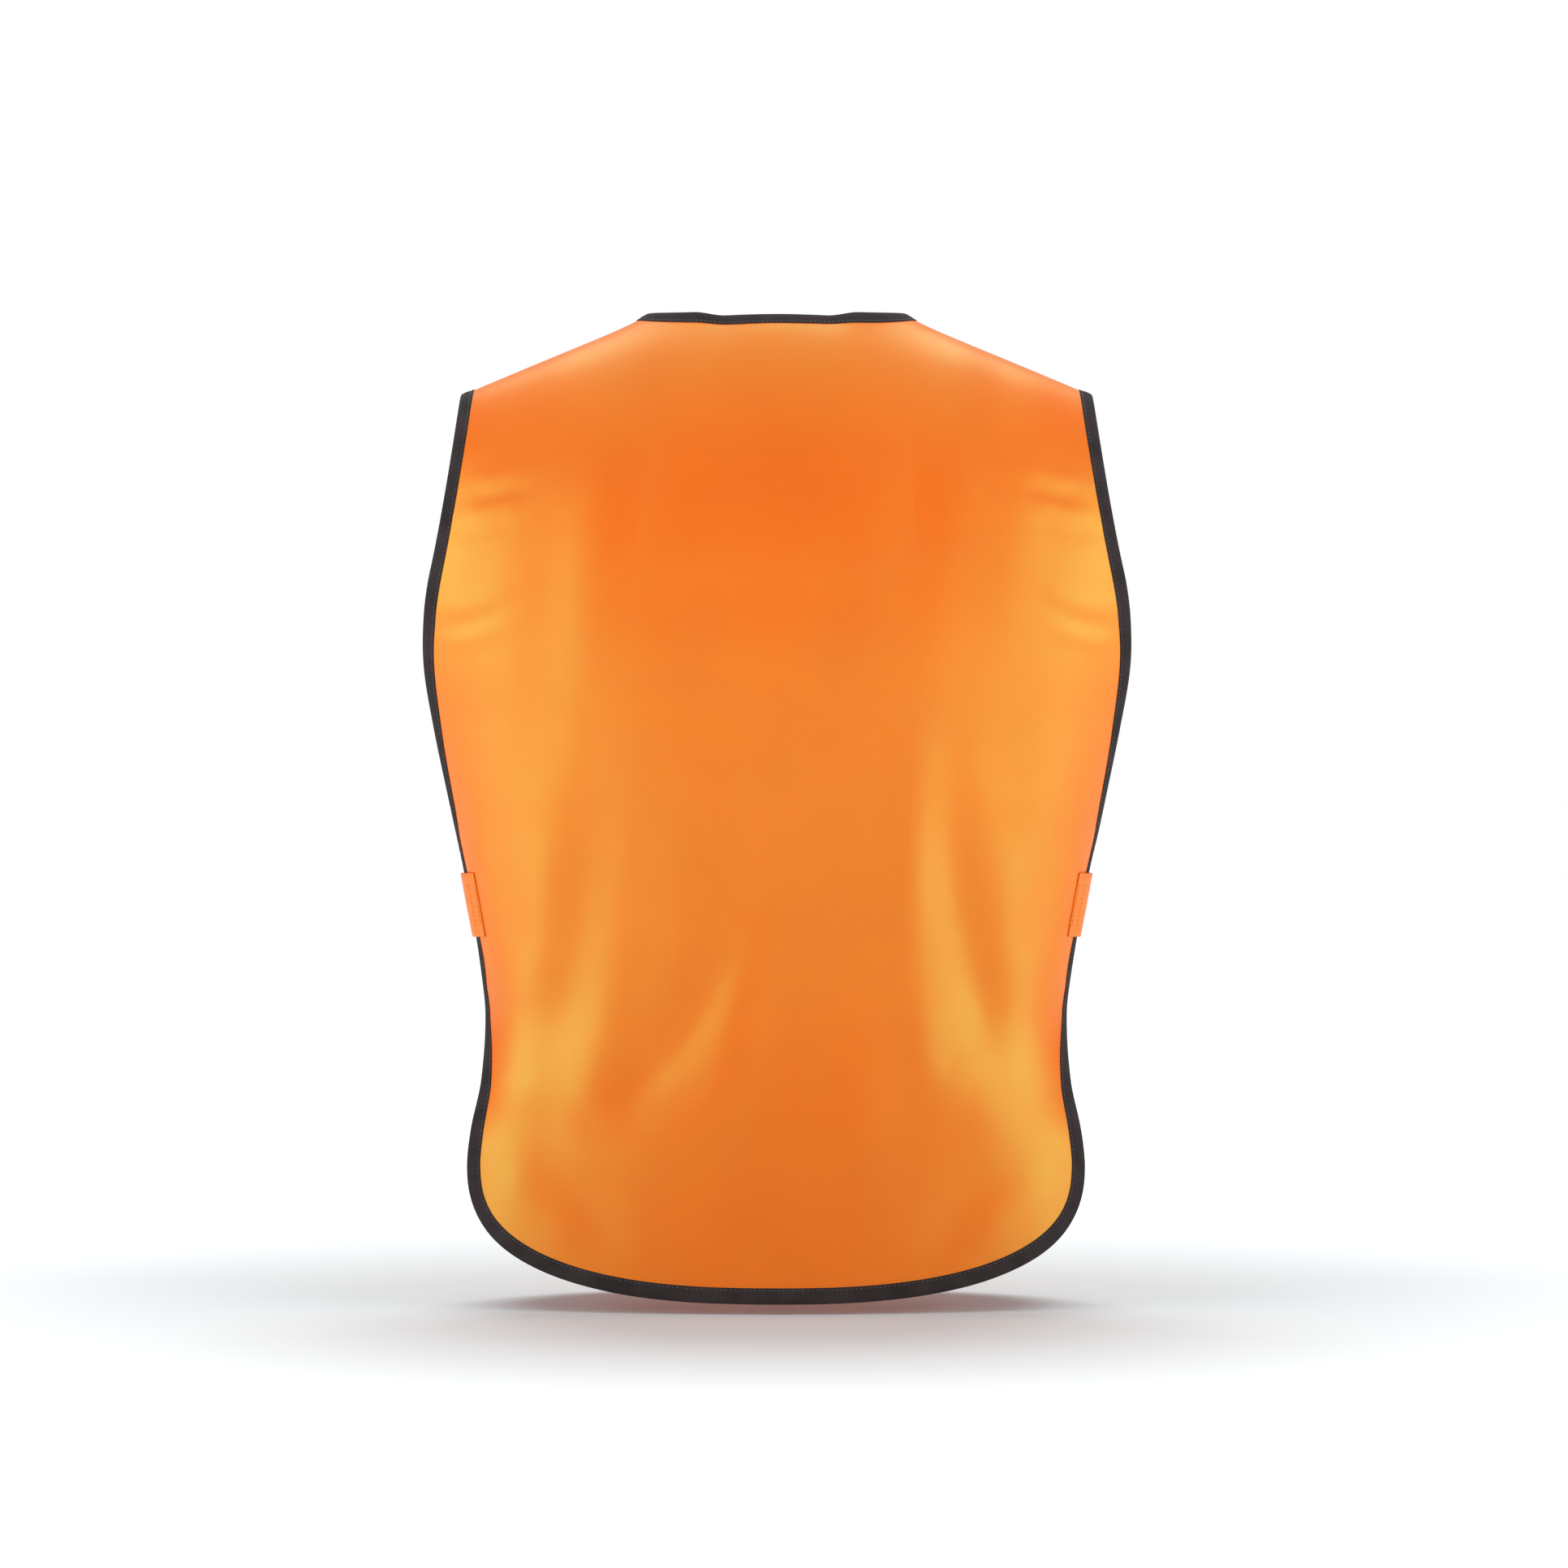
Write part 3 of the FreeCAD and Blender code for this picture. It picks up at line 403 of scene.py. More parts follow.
def fixed_places(way, points):
    """1 where something keeps a panel still: a side tab's patch, the V neck or the shoulders."""
    x, z = np.abs(points[..., 0]), points[..., 2]
    shoulder = smooth(-70, -20, z)
    if way == BACK:
        return shoulder
    tab = smooth(130, 150, x) * smooth(-450, -425, z) * smooth(-335, -360, z)
    neckline = smooth(-280, -200, z) * smooth(130, 95, x)
    return np.max([shoulder, tab, neckline], axis=0)


def edge_hold(points):
    """How firmly each point of a panel is kept: 1 along its sewn edges, falling to 0 inside."""
    along = np.linalg.norm(np.diff(points, axis=0), axis=2)
    across = np.linalg.norm(np.diff(points, axis=1), axis=2)
    up = np.vstack([np.zeros(points.shape[1]), np.cumsum(along, axis=0)])
    over = np.hstack([np.zeros((points.shape[0], 1)), np.cumsum(across, axis=1)])
    edges = [up, up[-1] - up, over, over[:, -1:] - over]
    return smooth(HELD_FROM, HELD_FULLY, np.min(edges, axis=0))


def evened(moved):
    """A grid's movements with the sharpest differences between neighbours taken out."""
    for _ in range(EVENING_PASSES):
        for axis in (0, 1):
            along = np.moveaxis(moved, axis, 0)
            along[1:-1] = (along[:-2] + 2 * along[1:-1] + along[2:]) / 4
    return moved


def settled(points, hold, shares):
    """The panel after its cloth, cut a little large, has hung under gravity.

    It is worked out on a coarse grid of even cells. shares gives each column's place across."""
    rows = np.unique(np.linspace(0, len(points) - 1, len(points) // COARSE).round().astype(int))
    even = np.linspace(shares[0], shares[-1], len(shares) // COARSE)
    columns = np.unique(np.abs(shares - even[:, None]).argmin(1))
    start = points[np.ix_(rows, columns)]
    grid = new_piece("settling", start, grid_faces(*start.shape[:2]), None)
    group = grid.vertex_groups.new(name="kept")
    kept = np.maximum(hold[np.ix_(rows, columns)], LEAST_HOLD).ravel()
    for index, weight in enumerate(kept):
        group.add([index], float(weight), "REPLACE")
    cloth = grid.modifiers.new("cloth", "CLOTH")
    made = cloth.settings
    made.quality, made.mass, made.air_damping = 8, 0.15, 2.0
    made.tension_stiffness = made.compression_stiffness = 20
    made.shear_stiffness, made.bending_stiffness = 8, 8
    made.vertex_group_mass, made.pin_stiffness, made.shrink_min = "kept", 0.6, -OVER_CUT
    cloth.collision_settings.use_collision = False
    cloth.point_cache.frame_start, cloth.point_cache.frame_end = 1, SETTLING_FRAMES
    for number in range(1, SETTLING_FRAMES + 1):
        bpy.context.scene.frame_set(number)
    hung = grid.evaluated_get(bpy.context.evaluated_depsgraph_get()).data
    found = np.empty(len(hung.vertices) * 3)
    hung.vertices.foreach_get("co", found)
    moved = found.reshape(start.shape) / MM - start
    bpy.data.objects.remove(grid)
    bpy.context.scene.frame_set(1)
    length = np.linalg.norm(moved, axis=-1, keepdims=True)
    moved = evened(moved * np.minimum(1, MOST_MOVED / np.maximum(length, 1e-9)))
    for knots, ask in ((rows.astype(float), np.arange(len(points))), (shares[columns], shares)):
        moved = cubic(knots, moved, np.gradient(moved, knots, axis=0), ask).swapaxes(0, 1)
    return points + moved * (1 - hold)[..., None]


def cloth_piece(name, way, shares, columns_x, hem, top, rows, material):
    """A panel: columns_x(up) gives every column's x, hem and top each column's two ends."""
    share = np.linspace(0, 1, rows)[:, None]
    up = hem + (top - hem) * share
    x = columns_x(up)
    turn = turn_at(way, x, up)
    points = cloth_point(way, turn, up)
    hold = np.maximum(edge_hold(points), fixed_places(way, points))
    points = settled(points, hold, shares)
    piece = new_piece(name, points, grid_faces(*turn.shape), material, measured_uv(points))
    thicken(piece, 2 * CLOTH_HALF)
    apply_modifiers(piece)
    return piece


def eased(low, high, count):
    """Spacing that closes up toward high, though never to nothing."""
    even = np.linspace(0, 1, count)
    return low + (high - low) * (0.65 * np.sin(even * pi / 2) + 0.35 * even)


def back_cloth(material):
    angles = np.linspace(0, pi / 2, 200)
    turn, neck_up = back_neck(angles)
    neck_x = profile("spread", BACK, VEE_LEVEL) * np.sin(turn)
    neck_share = neck_x / (half_width(BACK, neck_up) - LIP)
    limit = neck_share[-1]
    shares = np.r_[eased(0, limit, 46), eased(limit, 1, 62)[1:]]
    shares = np.r_[-shares[::-1], shares[1:]]
    top = np.where(np.abs(shares) < limit,
                   np.interp(np.abs(shares), neck_share, neck_up - LIP), ARCH_RUN)
    hem = hem_height(BACK, np.abs(shares)) + LIP - VEE_LEVEL

    def columns_x(up):
        return shares * (half_width(BACK, up) - LIP)

    return cloth_piece("back_cloth", BACK, shares, columns_x, hem, top, 210, material)


def front_cloth(name, side, material):
    ups, x_neck = neck_table()
    edge = half_width(FRONT, ups) - LIP
    neck_share = (x_neck + LIP - FRONT_EDGE) / (edge - FRONT_EDGE)
    limit = neck_share[-1]
    shares = np.r_[eased(0, limit, 40), eased(limit, 1, 60)[1:]]
    top = np.where(shares < limit, np.interp(shares, neck_share, ups), ARCH_RUN)
    corner = corner_half(FRONT)
    hem_share = (FRONT_EDGE + shares * (corner - FRONT_EDGE)) / corner
    hem = hem_height(FRONT, hem_share) + LIP - VEE_LEVEL

    def columns_x(up):
        edge = half_width(FRONT, up) - LIP
        return side * (FRONT_EDGE + shares * (edge - FRONT_EDGE))

    return cloth_piece(name, FRONT, shares, columns_x, hem, top, 200, material)


# ---- bound edges -----------------------------------------------------------------------------


def route_of(parts):
    """Joins (way, turn, up) runs into one route of evenly spaced places, with its distances."""
    way = np.concatenate([np.full_like(turn, way) for way, turn, _ in parts])
    turn = np.concatenate([turn for _, turn, _ in parts])
    up = np.concatenate([up for _, _, up in parts])
    points = bare(way, turn, up)
    step = np.linalg.norm(np.diff(points, axis=0), axis=1)
    keep = np.r_[True, step > 0.05]
    way, turn, up, points = way[keep], turn[keep], up[keep], points[keep]
    length = np.r_[0, np.cumsum(np.linalg.norm(np.diff(points, axis=0), axis=1))]
    ask = np.linspace(0, length[-1], int(length[-1] / 2.2))
    near = np.clip(np.searchsorted(length, ask), 1, len(length) - 1)
    share = (ask - length[near - 1]) / (length[near] - length[near - 1])
    same = way[near] == way[near - 1]
    mix = np.where(same, share, 1.0)
    return (way[near], turn[near - 1] + (turn[near] - turn[near - 1]) * mix,
            up[near - 1] + (up[near] - up[near - 1]) * mix, ask)


def route_frame(route, inward):
    """At each place of a route, the steps in turn and up that move 1 mm in across the cloth."""
    way, turn, up, _ = route
    points = bare(way, turn, up)
    forward = np.gradient(points, axis=0)
    forward = forward / np.linalg.norm(forward, axis=1, keepdims=True)
    across, along, outward = tangents(way, turn, up)
    aim = np.cross(outward, forward) * inward
    a, b, c = (across * across).sum(1), (across * along).sum(1), (along * along).sum(1)
    p, q = (across * aim).sum(1), (along * aim).sum(1)
    area = a * c - b * b
    return (c * p - b * q) / area, (a * q - b * p) / area


def on_route(route, steps, reach, lift):
    """Points at a reach in from a route, off the cloth by lift."""
    way, turn, up, _ = route
    return cloth_point(way, turn + steps[0] * reach, up + steps[1] * reach,
                       np.broadcast_to(lift, turn.shape))


def trim_section(width):
    """The folded binding's outline, as (reach in from the route, lift) all the way round."""
    nose = 1.15
    angles = np.linspace(pi / 2, 3 * pi / 2, 7)
    rounded = [(-LIP + nose + nose * np.cos(a), nose * np.sin(a)) for a in angles]
    inner = width - LIP
    over = [(inner, 0.5), (inner - 0.15, 0.85), (inner - 0.6, 1.0), (inner - 1.6, 0.86),
            (inner - 2.8, 1.05), (inner * 0.5, 1.25), (2.2, 1.25)]
    under = [(reach, -lift) for reach, lift in reversed(over)]
    return over + rounded + under


def trim(name, parts, inward, width, material):
    """A binding folded round an edge, slightly drawn in by its stitching."""
    route = route_of(parts)
    steps = route_frame(route, inward)
    rings = []
    for reach, lift in trim_section(width):
        puff = 1 + 0.10 * np.sin(route[3] * 2 * pi / 6.4 + reach) * (reach > 2)
        rings.append(on_route(route, steps, reach, lift * puff))
    points = np.stack(rings, 1)
    rows, columns = points.shape[:2]
    reach = np.array([r for r, _ in trim_section(width)])
    uv = np.stack(np.broadcast_arrays(reach[None, :] / 100, route[3][:, None] / 100), -1)
    return new_piece(name, points, tube_faces(rows, columns), material, uv), route, steps


def seam_row(route, steps, reach, lift):
    """A row of stitching: its line, and the way out of the cloth all along it."""
    line = on_route(route, steps, reach, lift)
    outward = on_route(route, steps, reach, lift + 1.0) - line
    return line, outward / np.linalg.norm(outward, axis=1, keepdims=True)


def stitches(name, rows, material, length=2.3, pitch=3.2, radius=0.24):
    """Rows of sunk stitches. Each row is (line, outward)."""
    points, faces = [], []
    for line, outward in rows:
        total = np.r_[0, np.cumsum(np.linalg.norm(np.diff(line, axis=0), axis=1))]
        for start in np.arange(pitch, total[-1] - pitch, pitch):
            ask = start + length * np.array([0, 0.2, 0.5, 0.8, 1])
            spine = np.stack([np.interp(ask, total, line[:, k]) for k in range(3)], 1)
            up = np.stack([np.interp(ask, total, outward[:, k]) for k in range(3)], 1)
            forward = spine[-1] - spine[0]
            beside = np.cross(up, forward / np.linalg.norm(forward))
            high = np.array([-1.2, 0.1, 0.5, 0.1, -1.2])[:, None] * radius
            size = np.array([0.6, 1, 1, 1, 0.6])[:, None] * radius
            base = sum(len(p) for p in points)
            ring = [spine + up * high + beside * size * np.cos(a) + up * size * np.sin(a)
                    for a in np.arange(6) * pi / 3]
            points.append(np.stack(ring, 1).reshape(-1, 3))
            faces.append(grid_faces(5, 6, wrap=True) + base)
    return new_piece(name, np.concatenate(points), np.concatenate(faces), material)


def hem_run(way, side, last_share):
    """From a side's corner along the hem to a share of the half width."""
    shares = np.sin(np.linspace(pi / 2, 0, 200)) ** (2 / HEM_POWER)
    shares = shares[shares >= last_share]
    z = hem_height(way, shares)
    up = z - VEE_LEVEL
    return way, turn_at(way, side * shares * corner_half(way), up), up


def side_run(way, side, low, high, count=120):
    up = np.linspace(low, high, count)
    return way, turn_at(way, side * half_width(way, up), up), up


def reverse(part):
    way, turn, up = part
    return way, turn[::-1], up[::-1]


def armhole_parts(side):
    meet = TRIM_MEET - VEE_LEVEL
    return [side_run(FRONT, side, meet, ARCH_RUN), reverse(side_run(BACK, side, meet, ARCH_RUN))]


def back_rim_parts():
    meet, corner = TRIM_MEET - VEE_LEVEL, CORNER[BACK] - VEE_LEVEL
    left = [reverse(side_run(BACK, 1, corner, meet)), hem_run(BACK, 1, 0)]
    right = [reverse(hem_run(BACK, -1, 0)), side_run(BACK, -1, corner, meet)]
    return left + right


def front_rim_parts(side):
    meet, corner = TRIM_MEET - VEE_LEVEL, CORNER[FRONT] - VEE_LEVEL
    return [reverse(side_run(FRONT, side, corner, meet)),
            hem_run(FRONT, side, FRONT_EDGE / corner_half(FRONT))]


def vee_part(side):
    ups, x = neck_table()
    return FRONT, side * turn_at(FRONT, x, 0), ups


# ---- materials -------------------------------------------------------------------------------


class Shader:
    """A Principled material, with short ways to add the nodes the cloths share."""

    def __init__(self, name, colour, roughness, **sockets):
        self.material = bpy.data.materials.new(name)
        self.material.use_nodes = True
        self.tree = self.material.node_tree
        self.surface = self.tree.nodes["Principled BSDF"]
        self.surface.inputs["Base Color"].default_value = (*colour, 1)
        self.surface.inputs["Roughness"].default_value = roughness
        for socket, value in sockets.items():
            self.surface.inputs[socket.replace("_", " ")].default_value = value
        self.colour = colour
        self.place = self.tree.nodes.new("ShaderNodeTexCoord")
        self.normal = None

    def node(self, kind, **values):
        made = self.tree.nodes.new(kind)
        for key, value in values.items():
            if key in made.inputs:
                made.inputs[key].default_value = value
            else:
                setattr(made, key, value)
        return made

    def link(self, start, end):
        self.tree.links.new(start, end)

    def noise(self, scale, detail=3.0, coordinates="Object", stretch=None):
        start = self.place.outputs[coordinates]
        if stretch:
            spread = self.node("ShaderNodeMapping")
            spread.inputs["Scale"].default_value = stretch
            self.link(start, spread.inputs["Vector"])
            start = spread.outputs["Vector"]
        texture = self.node("ShaderNodeTexNoise", Scale=scale, Detail=detail)
        self.link(start, texture.inputs["Vector"])
        return texture.outputs["Fac"]

    def threads(self, direction, per_unit):
        texture = self.node("ShaderNodeTexWave", Scale=per_unit, Distortion=0.6)
        texture.bands_direction = direction
        texture.inputs["Detail"].default_value = 1.0
        texture.inputs["Detail Scale"].default_value = 2.0
        self.link(self.place.outputs["UV"], texture.inputs["Vector"])
        return texture.outputs["Fac"]

    def combine(self, a, b, operation="ADD"):
        sum_node = self.node("ShaderNodeMath", operation=operation)
        self.link(a, sum_node.inputs[0])
        self.link(b, sum_node.inputs[1])
        return sum_node.outputs[0]

    def bump(self, height, strength, distance_mm):
        made = self.node("ShaderNodeBump", Strength=strength, Distance=distance_mm * MM)
        self.link(height, made.inputs["Height"])
        if self.normal is not None:
            self.link(self.normal, made.inputs["Normal"])
        self.normal = made.outputs["Normal"]
        self.link(self.normal, self.surface.inputs["Normal"])

    def mottle(self, factor, darker, lighter, low=0.35, high=0.65):
        ramp = self.node("ShaderNodeValToRGB")
        ends = zip(ramp.color_ramp.elements, (low, high), (darker, lighter))
        for element, place, colour in ends:
            element.position = place
            element.color = (*colour, 1)
        self.link(factor, ramp.inputs["Fac"])
        self.link(ramp.outputs["Color"], self.surface.inputs["Base Color"])

    def vary_roughness(self, factor, low, high):
        spread = self.node("ShaderNodeMapRange")
        spread.inputs["To Min"].default_value = low
        spread.inputs["To Max"].default_value = high
        self.link(factor, spread.inputs["Value"])
        self.link(spread.outputs["Result"], self.surface.inputs["Roughness"])


def shell_cloth():
    """Smooth woven polyester, fluorescent orange, with the pale sheen its filaments give."""
    made = Shader("blaze_orange_polyester", (0.91, 0.087, 0.0002), 0.43,
                  IOR=1.8, Specular_IOR_Level=0.9, Specular_Tint=(0.1, 1.0, 0.2, 1))
    made.mottle(made.noise(14, 4), (0.89, 0.084, 0.0002), (0.93, 0.09, 0.0003))
    weave = made.combine(made.threads("X", 48), made.threads("Y", 48), "MULTIPLY")
    made.vary_roughness(made.noise(60, 2), 0.4, 0.46)
    made.bump(weave, 0.35, 0.05)
    made.bump(made.noise(900, 2), 0.15, 0.08)
    return made.material


def binding_cloth():
    """Matte charcoal braid: fine ribs across, and a faint brown cast."""
    made = Shader("charcoal_binding", (0.033, 0.0255, 0.0255), 0.85,
                  Sheen_Weight=0.03, Sheen_Roughness=0.5, Specular_IOR_Level=0.1)
    made.mottle(made.noise(50, 4), (0.027, 0.021, 0.021), (0.04, 0.031, 0.031))
    made.bump(made.threads("Y", 36), 0.6, 0.12)
    made.bump(made.noise(1400, 2), 0.25, 0.1)
    return made.material


def thread(name, colour):
    made = Shader(name, colour, 0.55, Sheen_Weight=0.3)
    made.mottle(made.noise(300, 2), tuple(c * 0.75 for c in colour), colour)
    made.bump(made.noise(2500, 2, stretch=(1, 1, 3)), 0.6, 0.08)
    return made.material


def tape_cloth():
    """Zip tape: a close herringbone in near-black yarn."""
    made = Shader("zip_tape_weave", (0.035, 0.03, 0.03), 0.75, Sheen_Weight=0.2)
    made.mottle(made.noise(80, 3), (0.028, 0.024, 0.024), (0.045, 0.039, 0.038))
    made.bump(made.combine(made.threads("X", 36), made.threads("DIAGONAL", 30)), 0.6, 0.12)
    return made.material


def moulded_plastic():
    made = Shader("zip_plastic_black", (0.022, 0.022, 0.023), 0.38, Specular_IOR_Level=0.5)
    made.mottle(made.noise(400, 3), (0.018, 0.018, 0.019), (0.03, 0.03, 0.031))
    made.vary_roughness(made.noise(700, 3), 0.3, 0.5)
    made.bump(made.noise(3000, 2), 0.12, 0.05)
    return made.material


def slider_metal():
    """Black enamelled die casting, rubbed lighter in scattered patches."""
    made = Shader("slider_black_enamel", (0.03, 0.03, 0.031), 0.32, Metallic=0.55,
                  Coat_Weight=0.4, Coat_Roughness=0.2)
    made.mottle(made.noise(500, 5), (0.024, 0.024, 0.025), (0.07, 0.068, 0.066), 0.45, 0.8)
    made.vary_roughness(made.noise(900, 4), 0.22, 0.45)
    made.bump(made.noise(1800, 3), 0.15, 0.06)
    return made.material


def napped(name, colour, grain, depth):
    """Hook or loop fastener: a dense, coarse pile."""
    made = Shader(name, colour, 0.9, Sheen_Weight=0.6, Sheen_Roughness=0.6)
    pile = made.node("ShaderNodeTexVoronoi", Scale=grain)
    made.link(made.place.outputs["Object"], pile.inputs["Vector"])
    made.mottle(made.noise(grain / 2, 3), tuple(c * 0.6 for c in colour), colour)
    made.bump(pile.outputs["Distance"], 1.0, depth)
    return made.material


CLOTH, BINDING, TAPE = shell_cloth(), binding_cloth(), tape_cloth()
PLASTIC, METAL = moulded_plastic(), slider_metal()
DARK_THREAD = thread("charcoal_thread", (0.07, 0.055, 0.055))
ORANGE_THREAD = thread("orange_thread", (0.95, 0.25, 0.01))
HOOKS = napped("hook_pile", (0.05, 0.045, 0.045), 1600, 0.5)
LOOPS = napped("loop_pile", (0.07, 0.06, 0.06), 900, 0.5)


# ---- placing pieces --------------------------------------------------------------------------

JOINTS = {joint["name"]: joint for joint in frame["joints"]}
FOLD = JOINTS["left_front_swing"]
FOLD_FOOT = Vector(FOLD["pos_m"])
# square to the cloth at the left front's fold, into the body
INTO_BODY = Vector((-0.23, 0.97, 0))
FOLD_INWARD = Vector(FOLD["axis"]).cross(INTO_BODY).normalized()
# the number of places along a side tab and its hook and loop strips, from rear to front
TAB_COLUMNS = 66
# the angles between which a tab crosses the opening, and millimetres along it for a radian
OPENING_FRONT, OPENING_BACK = 80, 100
TAB_RADIUS = 120
# the hook and loop patches' end angles, and how far they stay in from the tab's long edges
PATCH_REAR, HOOK_FRONT, LOOP_FRONT, PATCH_MARGIN = 68.5, 61, 53, 4


def follow(piece, nodes=(), body="vest", side=0):
    """The piece rides one body, or where side is given keeps its place, baked into its mesh."""
    if side:
        place, inward = FOLD_FOOT.copy(), FOLD_INWARD.copy()
        place.x *= side
        inward.x *= side
        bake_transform(piece)
    else:
        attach(piece, body)
    if nodes:
        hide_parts(*nodes)
    return piece


def stitch_rows(route, steps, width, inward_gap=1.6, lift=0.78):
    """The binding's seam shows on both faces."""
    reach = width - LIP - inward_gap
    return [seam_row(route, steps, reach, lift), seam_row(route, steps, reach, -lift)]


def side_name(side):
    return "left" if side > 0 else "right"


def build_back():
    cloth = follow(back_cloth(CLOTH), ["back_panel"])
    rim, route, steps = trim("back_hem_trim", back_rim_parts(), 1, WIDTHS["hem"], BINDING)
    follow(rim, ["back_hem_binding"])
    rows = stitch_rows(route, steps, WIDTHS["hem"])

    turn, up = back_neck(np.linspace(pi / 2, -pi / 2, 200))
    collar, route, steps = trim("back_neck_trim", [(BACK, turn, up)], -1, WIDTHS["neck"], BINDING)
    follow(collar, ["neck_binding"])
    rows += stitch_rows(route, steps, WIDTHS["neck"])
    for side in (1, -1):
        name = side_name(side) + "_armhole_trim"
        ring, route, steps = trim(name, armhole_parts(side), side, WIDTHS["armhole"], BINDING)
        follow(ring, [side_name(side) + "_armhole_binding"])
        rows += stitch_rows(route, steps, WIDTHS["armhole"])
    follow(stitches("vest_stitching", rows, DARK_THREAD))


def front_edge_rows(side):
    """Two rows of topstitching down the folded front edge, through the zip tape."""
    up = np.linspace(ZIP_FOOT + 2, VEE_LEVEL - 8, 240) - VEE_LEVEL
    rows = []
    for inset in (2.0, 8.0):
        turn = turn_at(FRONT, np.full_like(up, side * (FRONT_EDGE + inset)), up)
        route = (FRONT, turn, up, up)
        rows.append(seam_row(route, np.zeros((2, len(up))), 0.0, CLOTH_HALF + 0.05))
    return rows


def build_front(side):
    name = side_name(side)
    cloth = front_cloth(name + "_front_cloth", side, CLOTH)
    follow(cloth, [name + "_front_panel", name + "_front_side_panel"], side=side)
    vee, route, steps = trim(name + "_neck_trim", [vee_part(side)], -side, WIDTHS["neck"], BINDING)
    rows = stitch_rows(route, steps, WIDTHS["neck"])
    follow(vee, [name + "_vee_binding"], side=side)
    rim, route, steps = trim(name + "_front_hem_trim", front_rim_parts(side), -side,
                             WIDTHS["hem"], BINDING)
    rows += stitch_rows(route, steps, WIDTHS["hem"])
    follow(rim, [name + "_front_hem_binding", name + "_front_side_binding"], side=side)
    follow(stitches(name + "_front_stitching", rows, DARK_THREAD), side=side)
    zip_seams = stitches(name + "_zip_stitching", front_edge_rows(side), ORANGE_THREAD,
                         length=2.6, pitch=3.4, radius=0.2)
    follow(zip_seams, body=name + "_front")


def tab_lift(turns):
    """A side tab's height off the front surface: it comes down to the back where it is sewn."""
    raised = smooth(radians(TAB_SEWN), radians(TAB_REAR - 1), turns)
    return SEWN_LIFT + (TAB_LIFT - SEWN_LIFT) * raised


def over_opening(turn, up):
    """Places and outward directions across a side's opening, from the front on to the back."""
    reached = smooth(radians(OPENING_FRONT), radians(OPENING_BACK), turn)[..., None]
    front, back = bare(FRONT, turn, up), bare(BACK, pi - turn, up)
    off_front, off_back = tangents(FRONT, turn, up)[2], tangents(BACK, pi - turn, up)[2]
    outward = off_front * (1 - reached) + off_back * reached
    outward = outward / np.linalg.norm(outward, axis=-1, keepdims=True)
    return front + (back - front) * reached, outward


def patch(name, side, rear, front, margin, lift, thickness, material, corner=0.0, waves=0.0):
    """A strip between two angles round the side, its free corners rounded."""
    turns = np.radians(np.linspace(rear, front, TAB_COLUMNS))
    rows = np.linspace(-1, 1, 26)
    reach = (turns - turns[-1]) * TAB_RADIUS
    chord = np.sqrt(np.clip(corner**2 - (corner - reach) ** 2, 0, None))
    shrink = np.where(reach < corner, corner - chord, 0)
    middle = (TAB_TOP + TAB_FOOT) / 2 - VEE_LEVEL
    half = (TAB_TOP - TAB_FOOT) / 2 - margin - shrink
    up = middle + rows[:, None] * half[None, :]
    turn = np.broadcast_to(turns, up.shape)
    place, outward = over_opening(turn, up)
    ripple = waves * np.sin(reach / 9) * (1 - rows[:, None] ** 2) * (reach > 45)
    points = place + outward * (lift + ripple)[..., None]
    points[..., 0] *= side
    piece = new_piece(name, points, grid_faces(*up.shape), material, measured_uv(points))
    thicken(piece, thickness)
    soft = piece.modifiers.new("edge", "BEVEL")
    soft.width, soft.segments, soft.limit_method = thickness * 0.3 * MM, 2, "ANGLE"
    apply_modifiers(piece)
    return piece


def tab_rows(side):
    """Stitching round the tab's edge, and across its sewn end."""
    rows = []
    for up in (TAB_TOP - 3, TAB_FOOT + 3):
        turns = np.radians(np.linspace(TAB_SEWN - 1, TAB_FRONT + 2.5, 90))
        rows.append(tab_line(turns, np.full_like(turns, up), side))
    for turn in (TAB_FRONT + 1.6, TAB_SEWN - 1, TAB_SEWN - 5):
        ups = np.linspace(TAB_FOOT + 4, TAB_TOP - 4, 40)
        rows.append(tab_line(np.full_like(ups, radians(turn)), ups, side))
    return rows


def tab_line(turns, levels, side):
    """A row of stitching just proud of the tab's outer face."""
    place, outward = over_opening(turns, levels - VEE_LEVEL)
    line = place + outward * (tab_lift(turns) + TAB_THICKNESS / 2 + 0.05)[:, None]
    return line * (side, 1, 1), outward * (side, 1, 1)


def bend_at_hinge(piece):
    """Bakes a side tab piece's placing into its mesh."""
    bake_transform(piece)


def build_tab(side):
    name = side_name(side)
    body = name + "_tab"
    rear_to_free = np.radians(np.linspace(TAB_SEWN, TAB_FRONT, TAB_COLUMNS))
    tab = patch(name + "_tab_cloth", side, TAB_SEWN, TAB_FRONT, 0, tab_lift(rear_to_free),
                TAB_THICKNESS, CLOTH, 9, 0.25)
    bend_at_hinge(tab)
    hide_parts(name + "_side_tab")
    hooks = patch(name + "_hook_strip", side, PATCH_REAR, HOOK_FRONT, PATCH_MARGIN, 2.4, 0.9, HOOKS)
    follow(hooks, [name + "_hook_patch"], body)
    loops = patch(name + "_loop_strip", side, PATCH_REAR, LOOP_FRONT, PATCH_MARGIN, 1.15, 0.8, LOOPS)
    follow(loops, [name + "_loop_patch"])
    sewn = stitches(name + "_tab_stitching", tab_rows(side), ORANGE_THREAD,
                    length=2.2, pitch=3.0, radius=0.2)
    bend_at_hinge(sewn)


# ---- zip -------------------------------------------------------------------------------------


# the tape's two edges from the centre line, and its two wales
TAPE_INNER, TAPE_OUTER = 6.4, 22.0
WALE_PLACES, WALE_WIDTH, WALE_HEIGHT = (9.6, 19), 0.7, 0.12
BOX_HEIGHT, PIN_HEIGHT = 8, 14
TOOTH_HEIGHT, TOOTH_PITCH, TOOTH_COUNT = 1.5, 3, 135
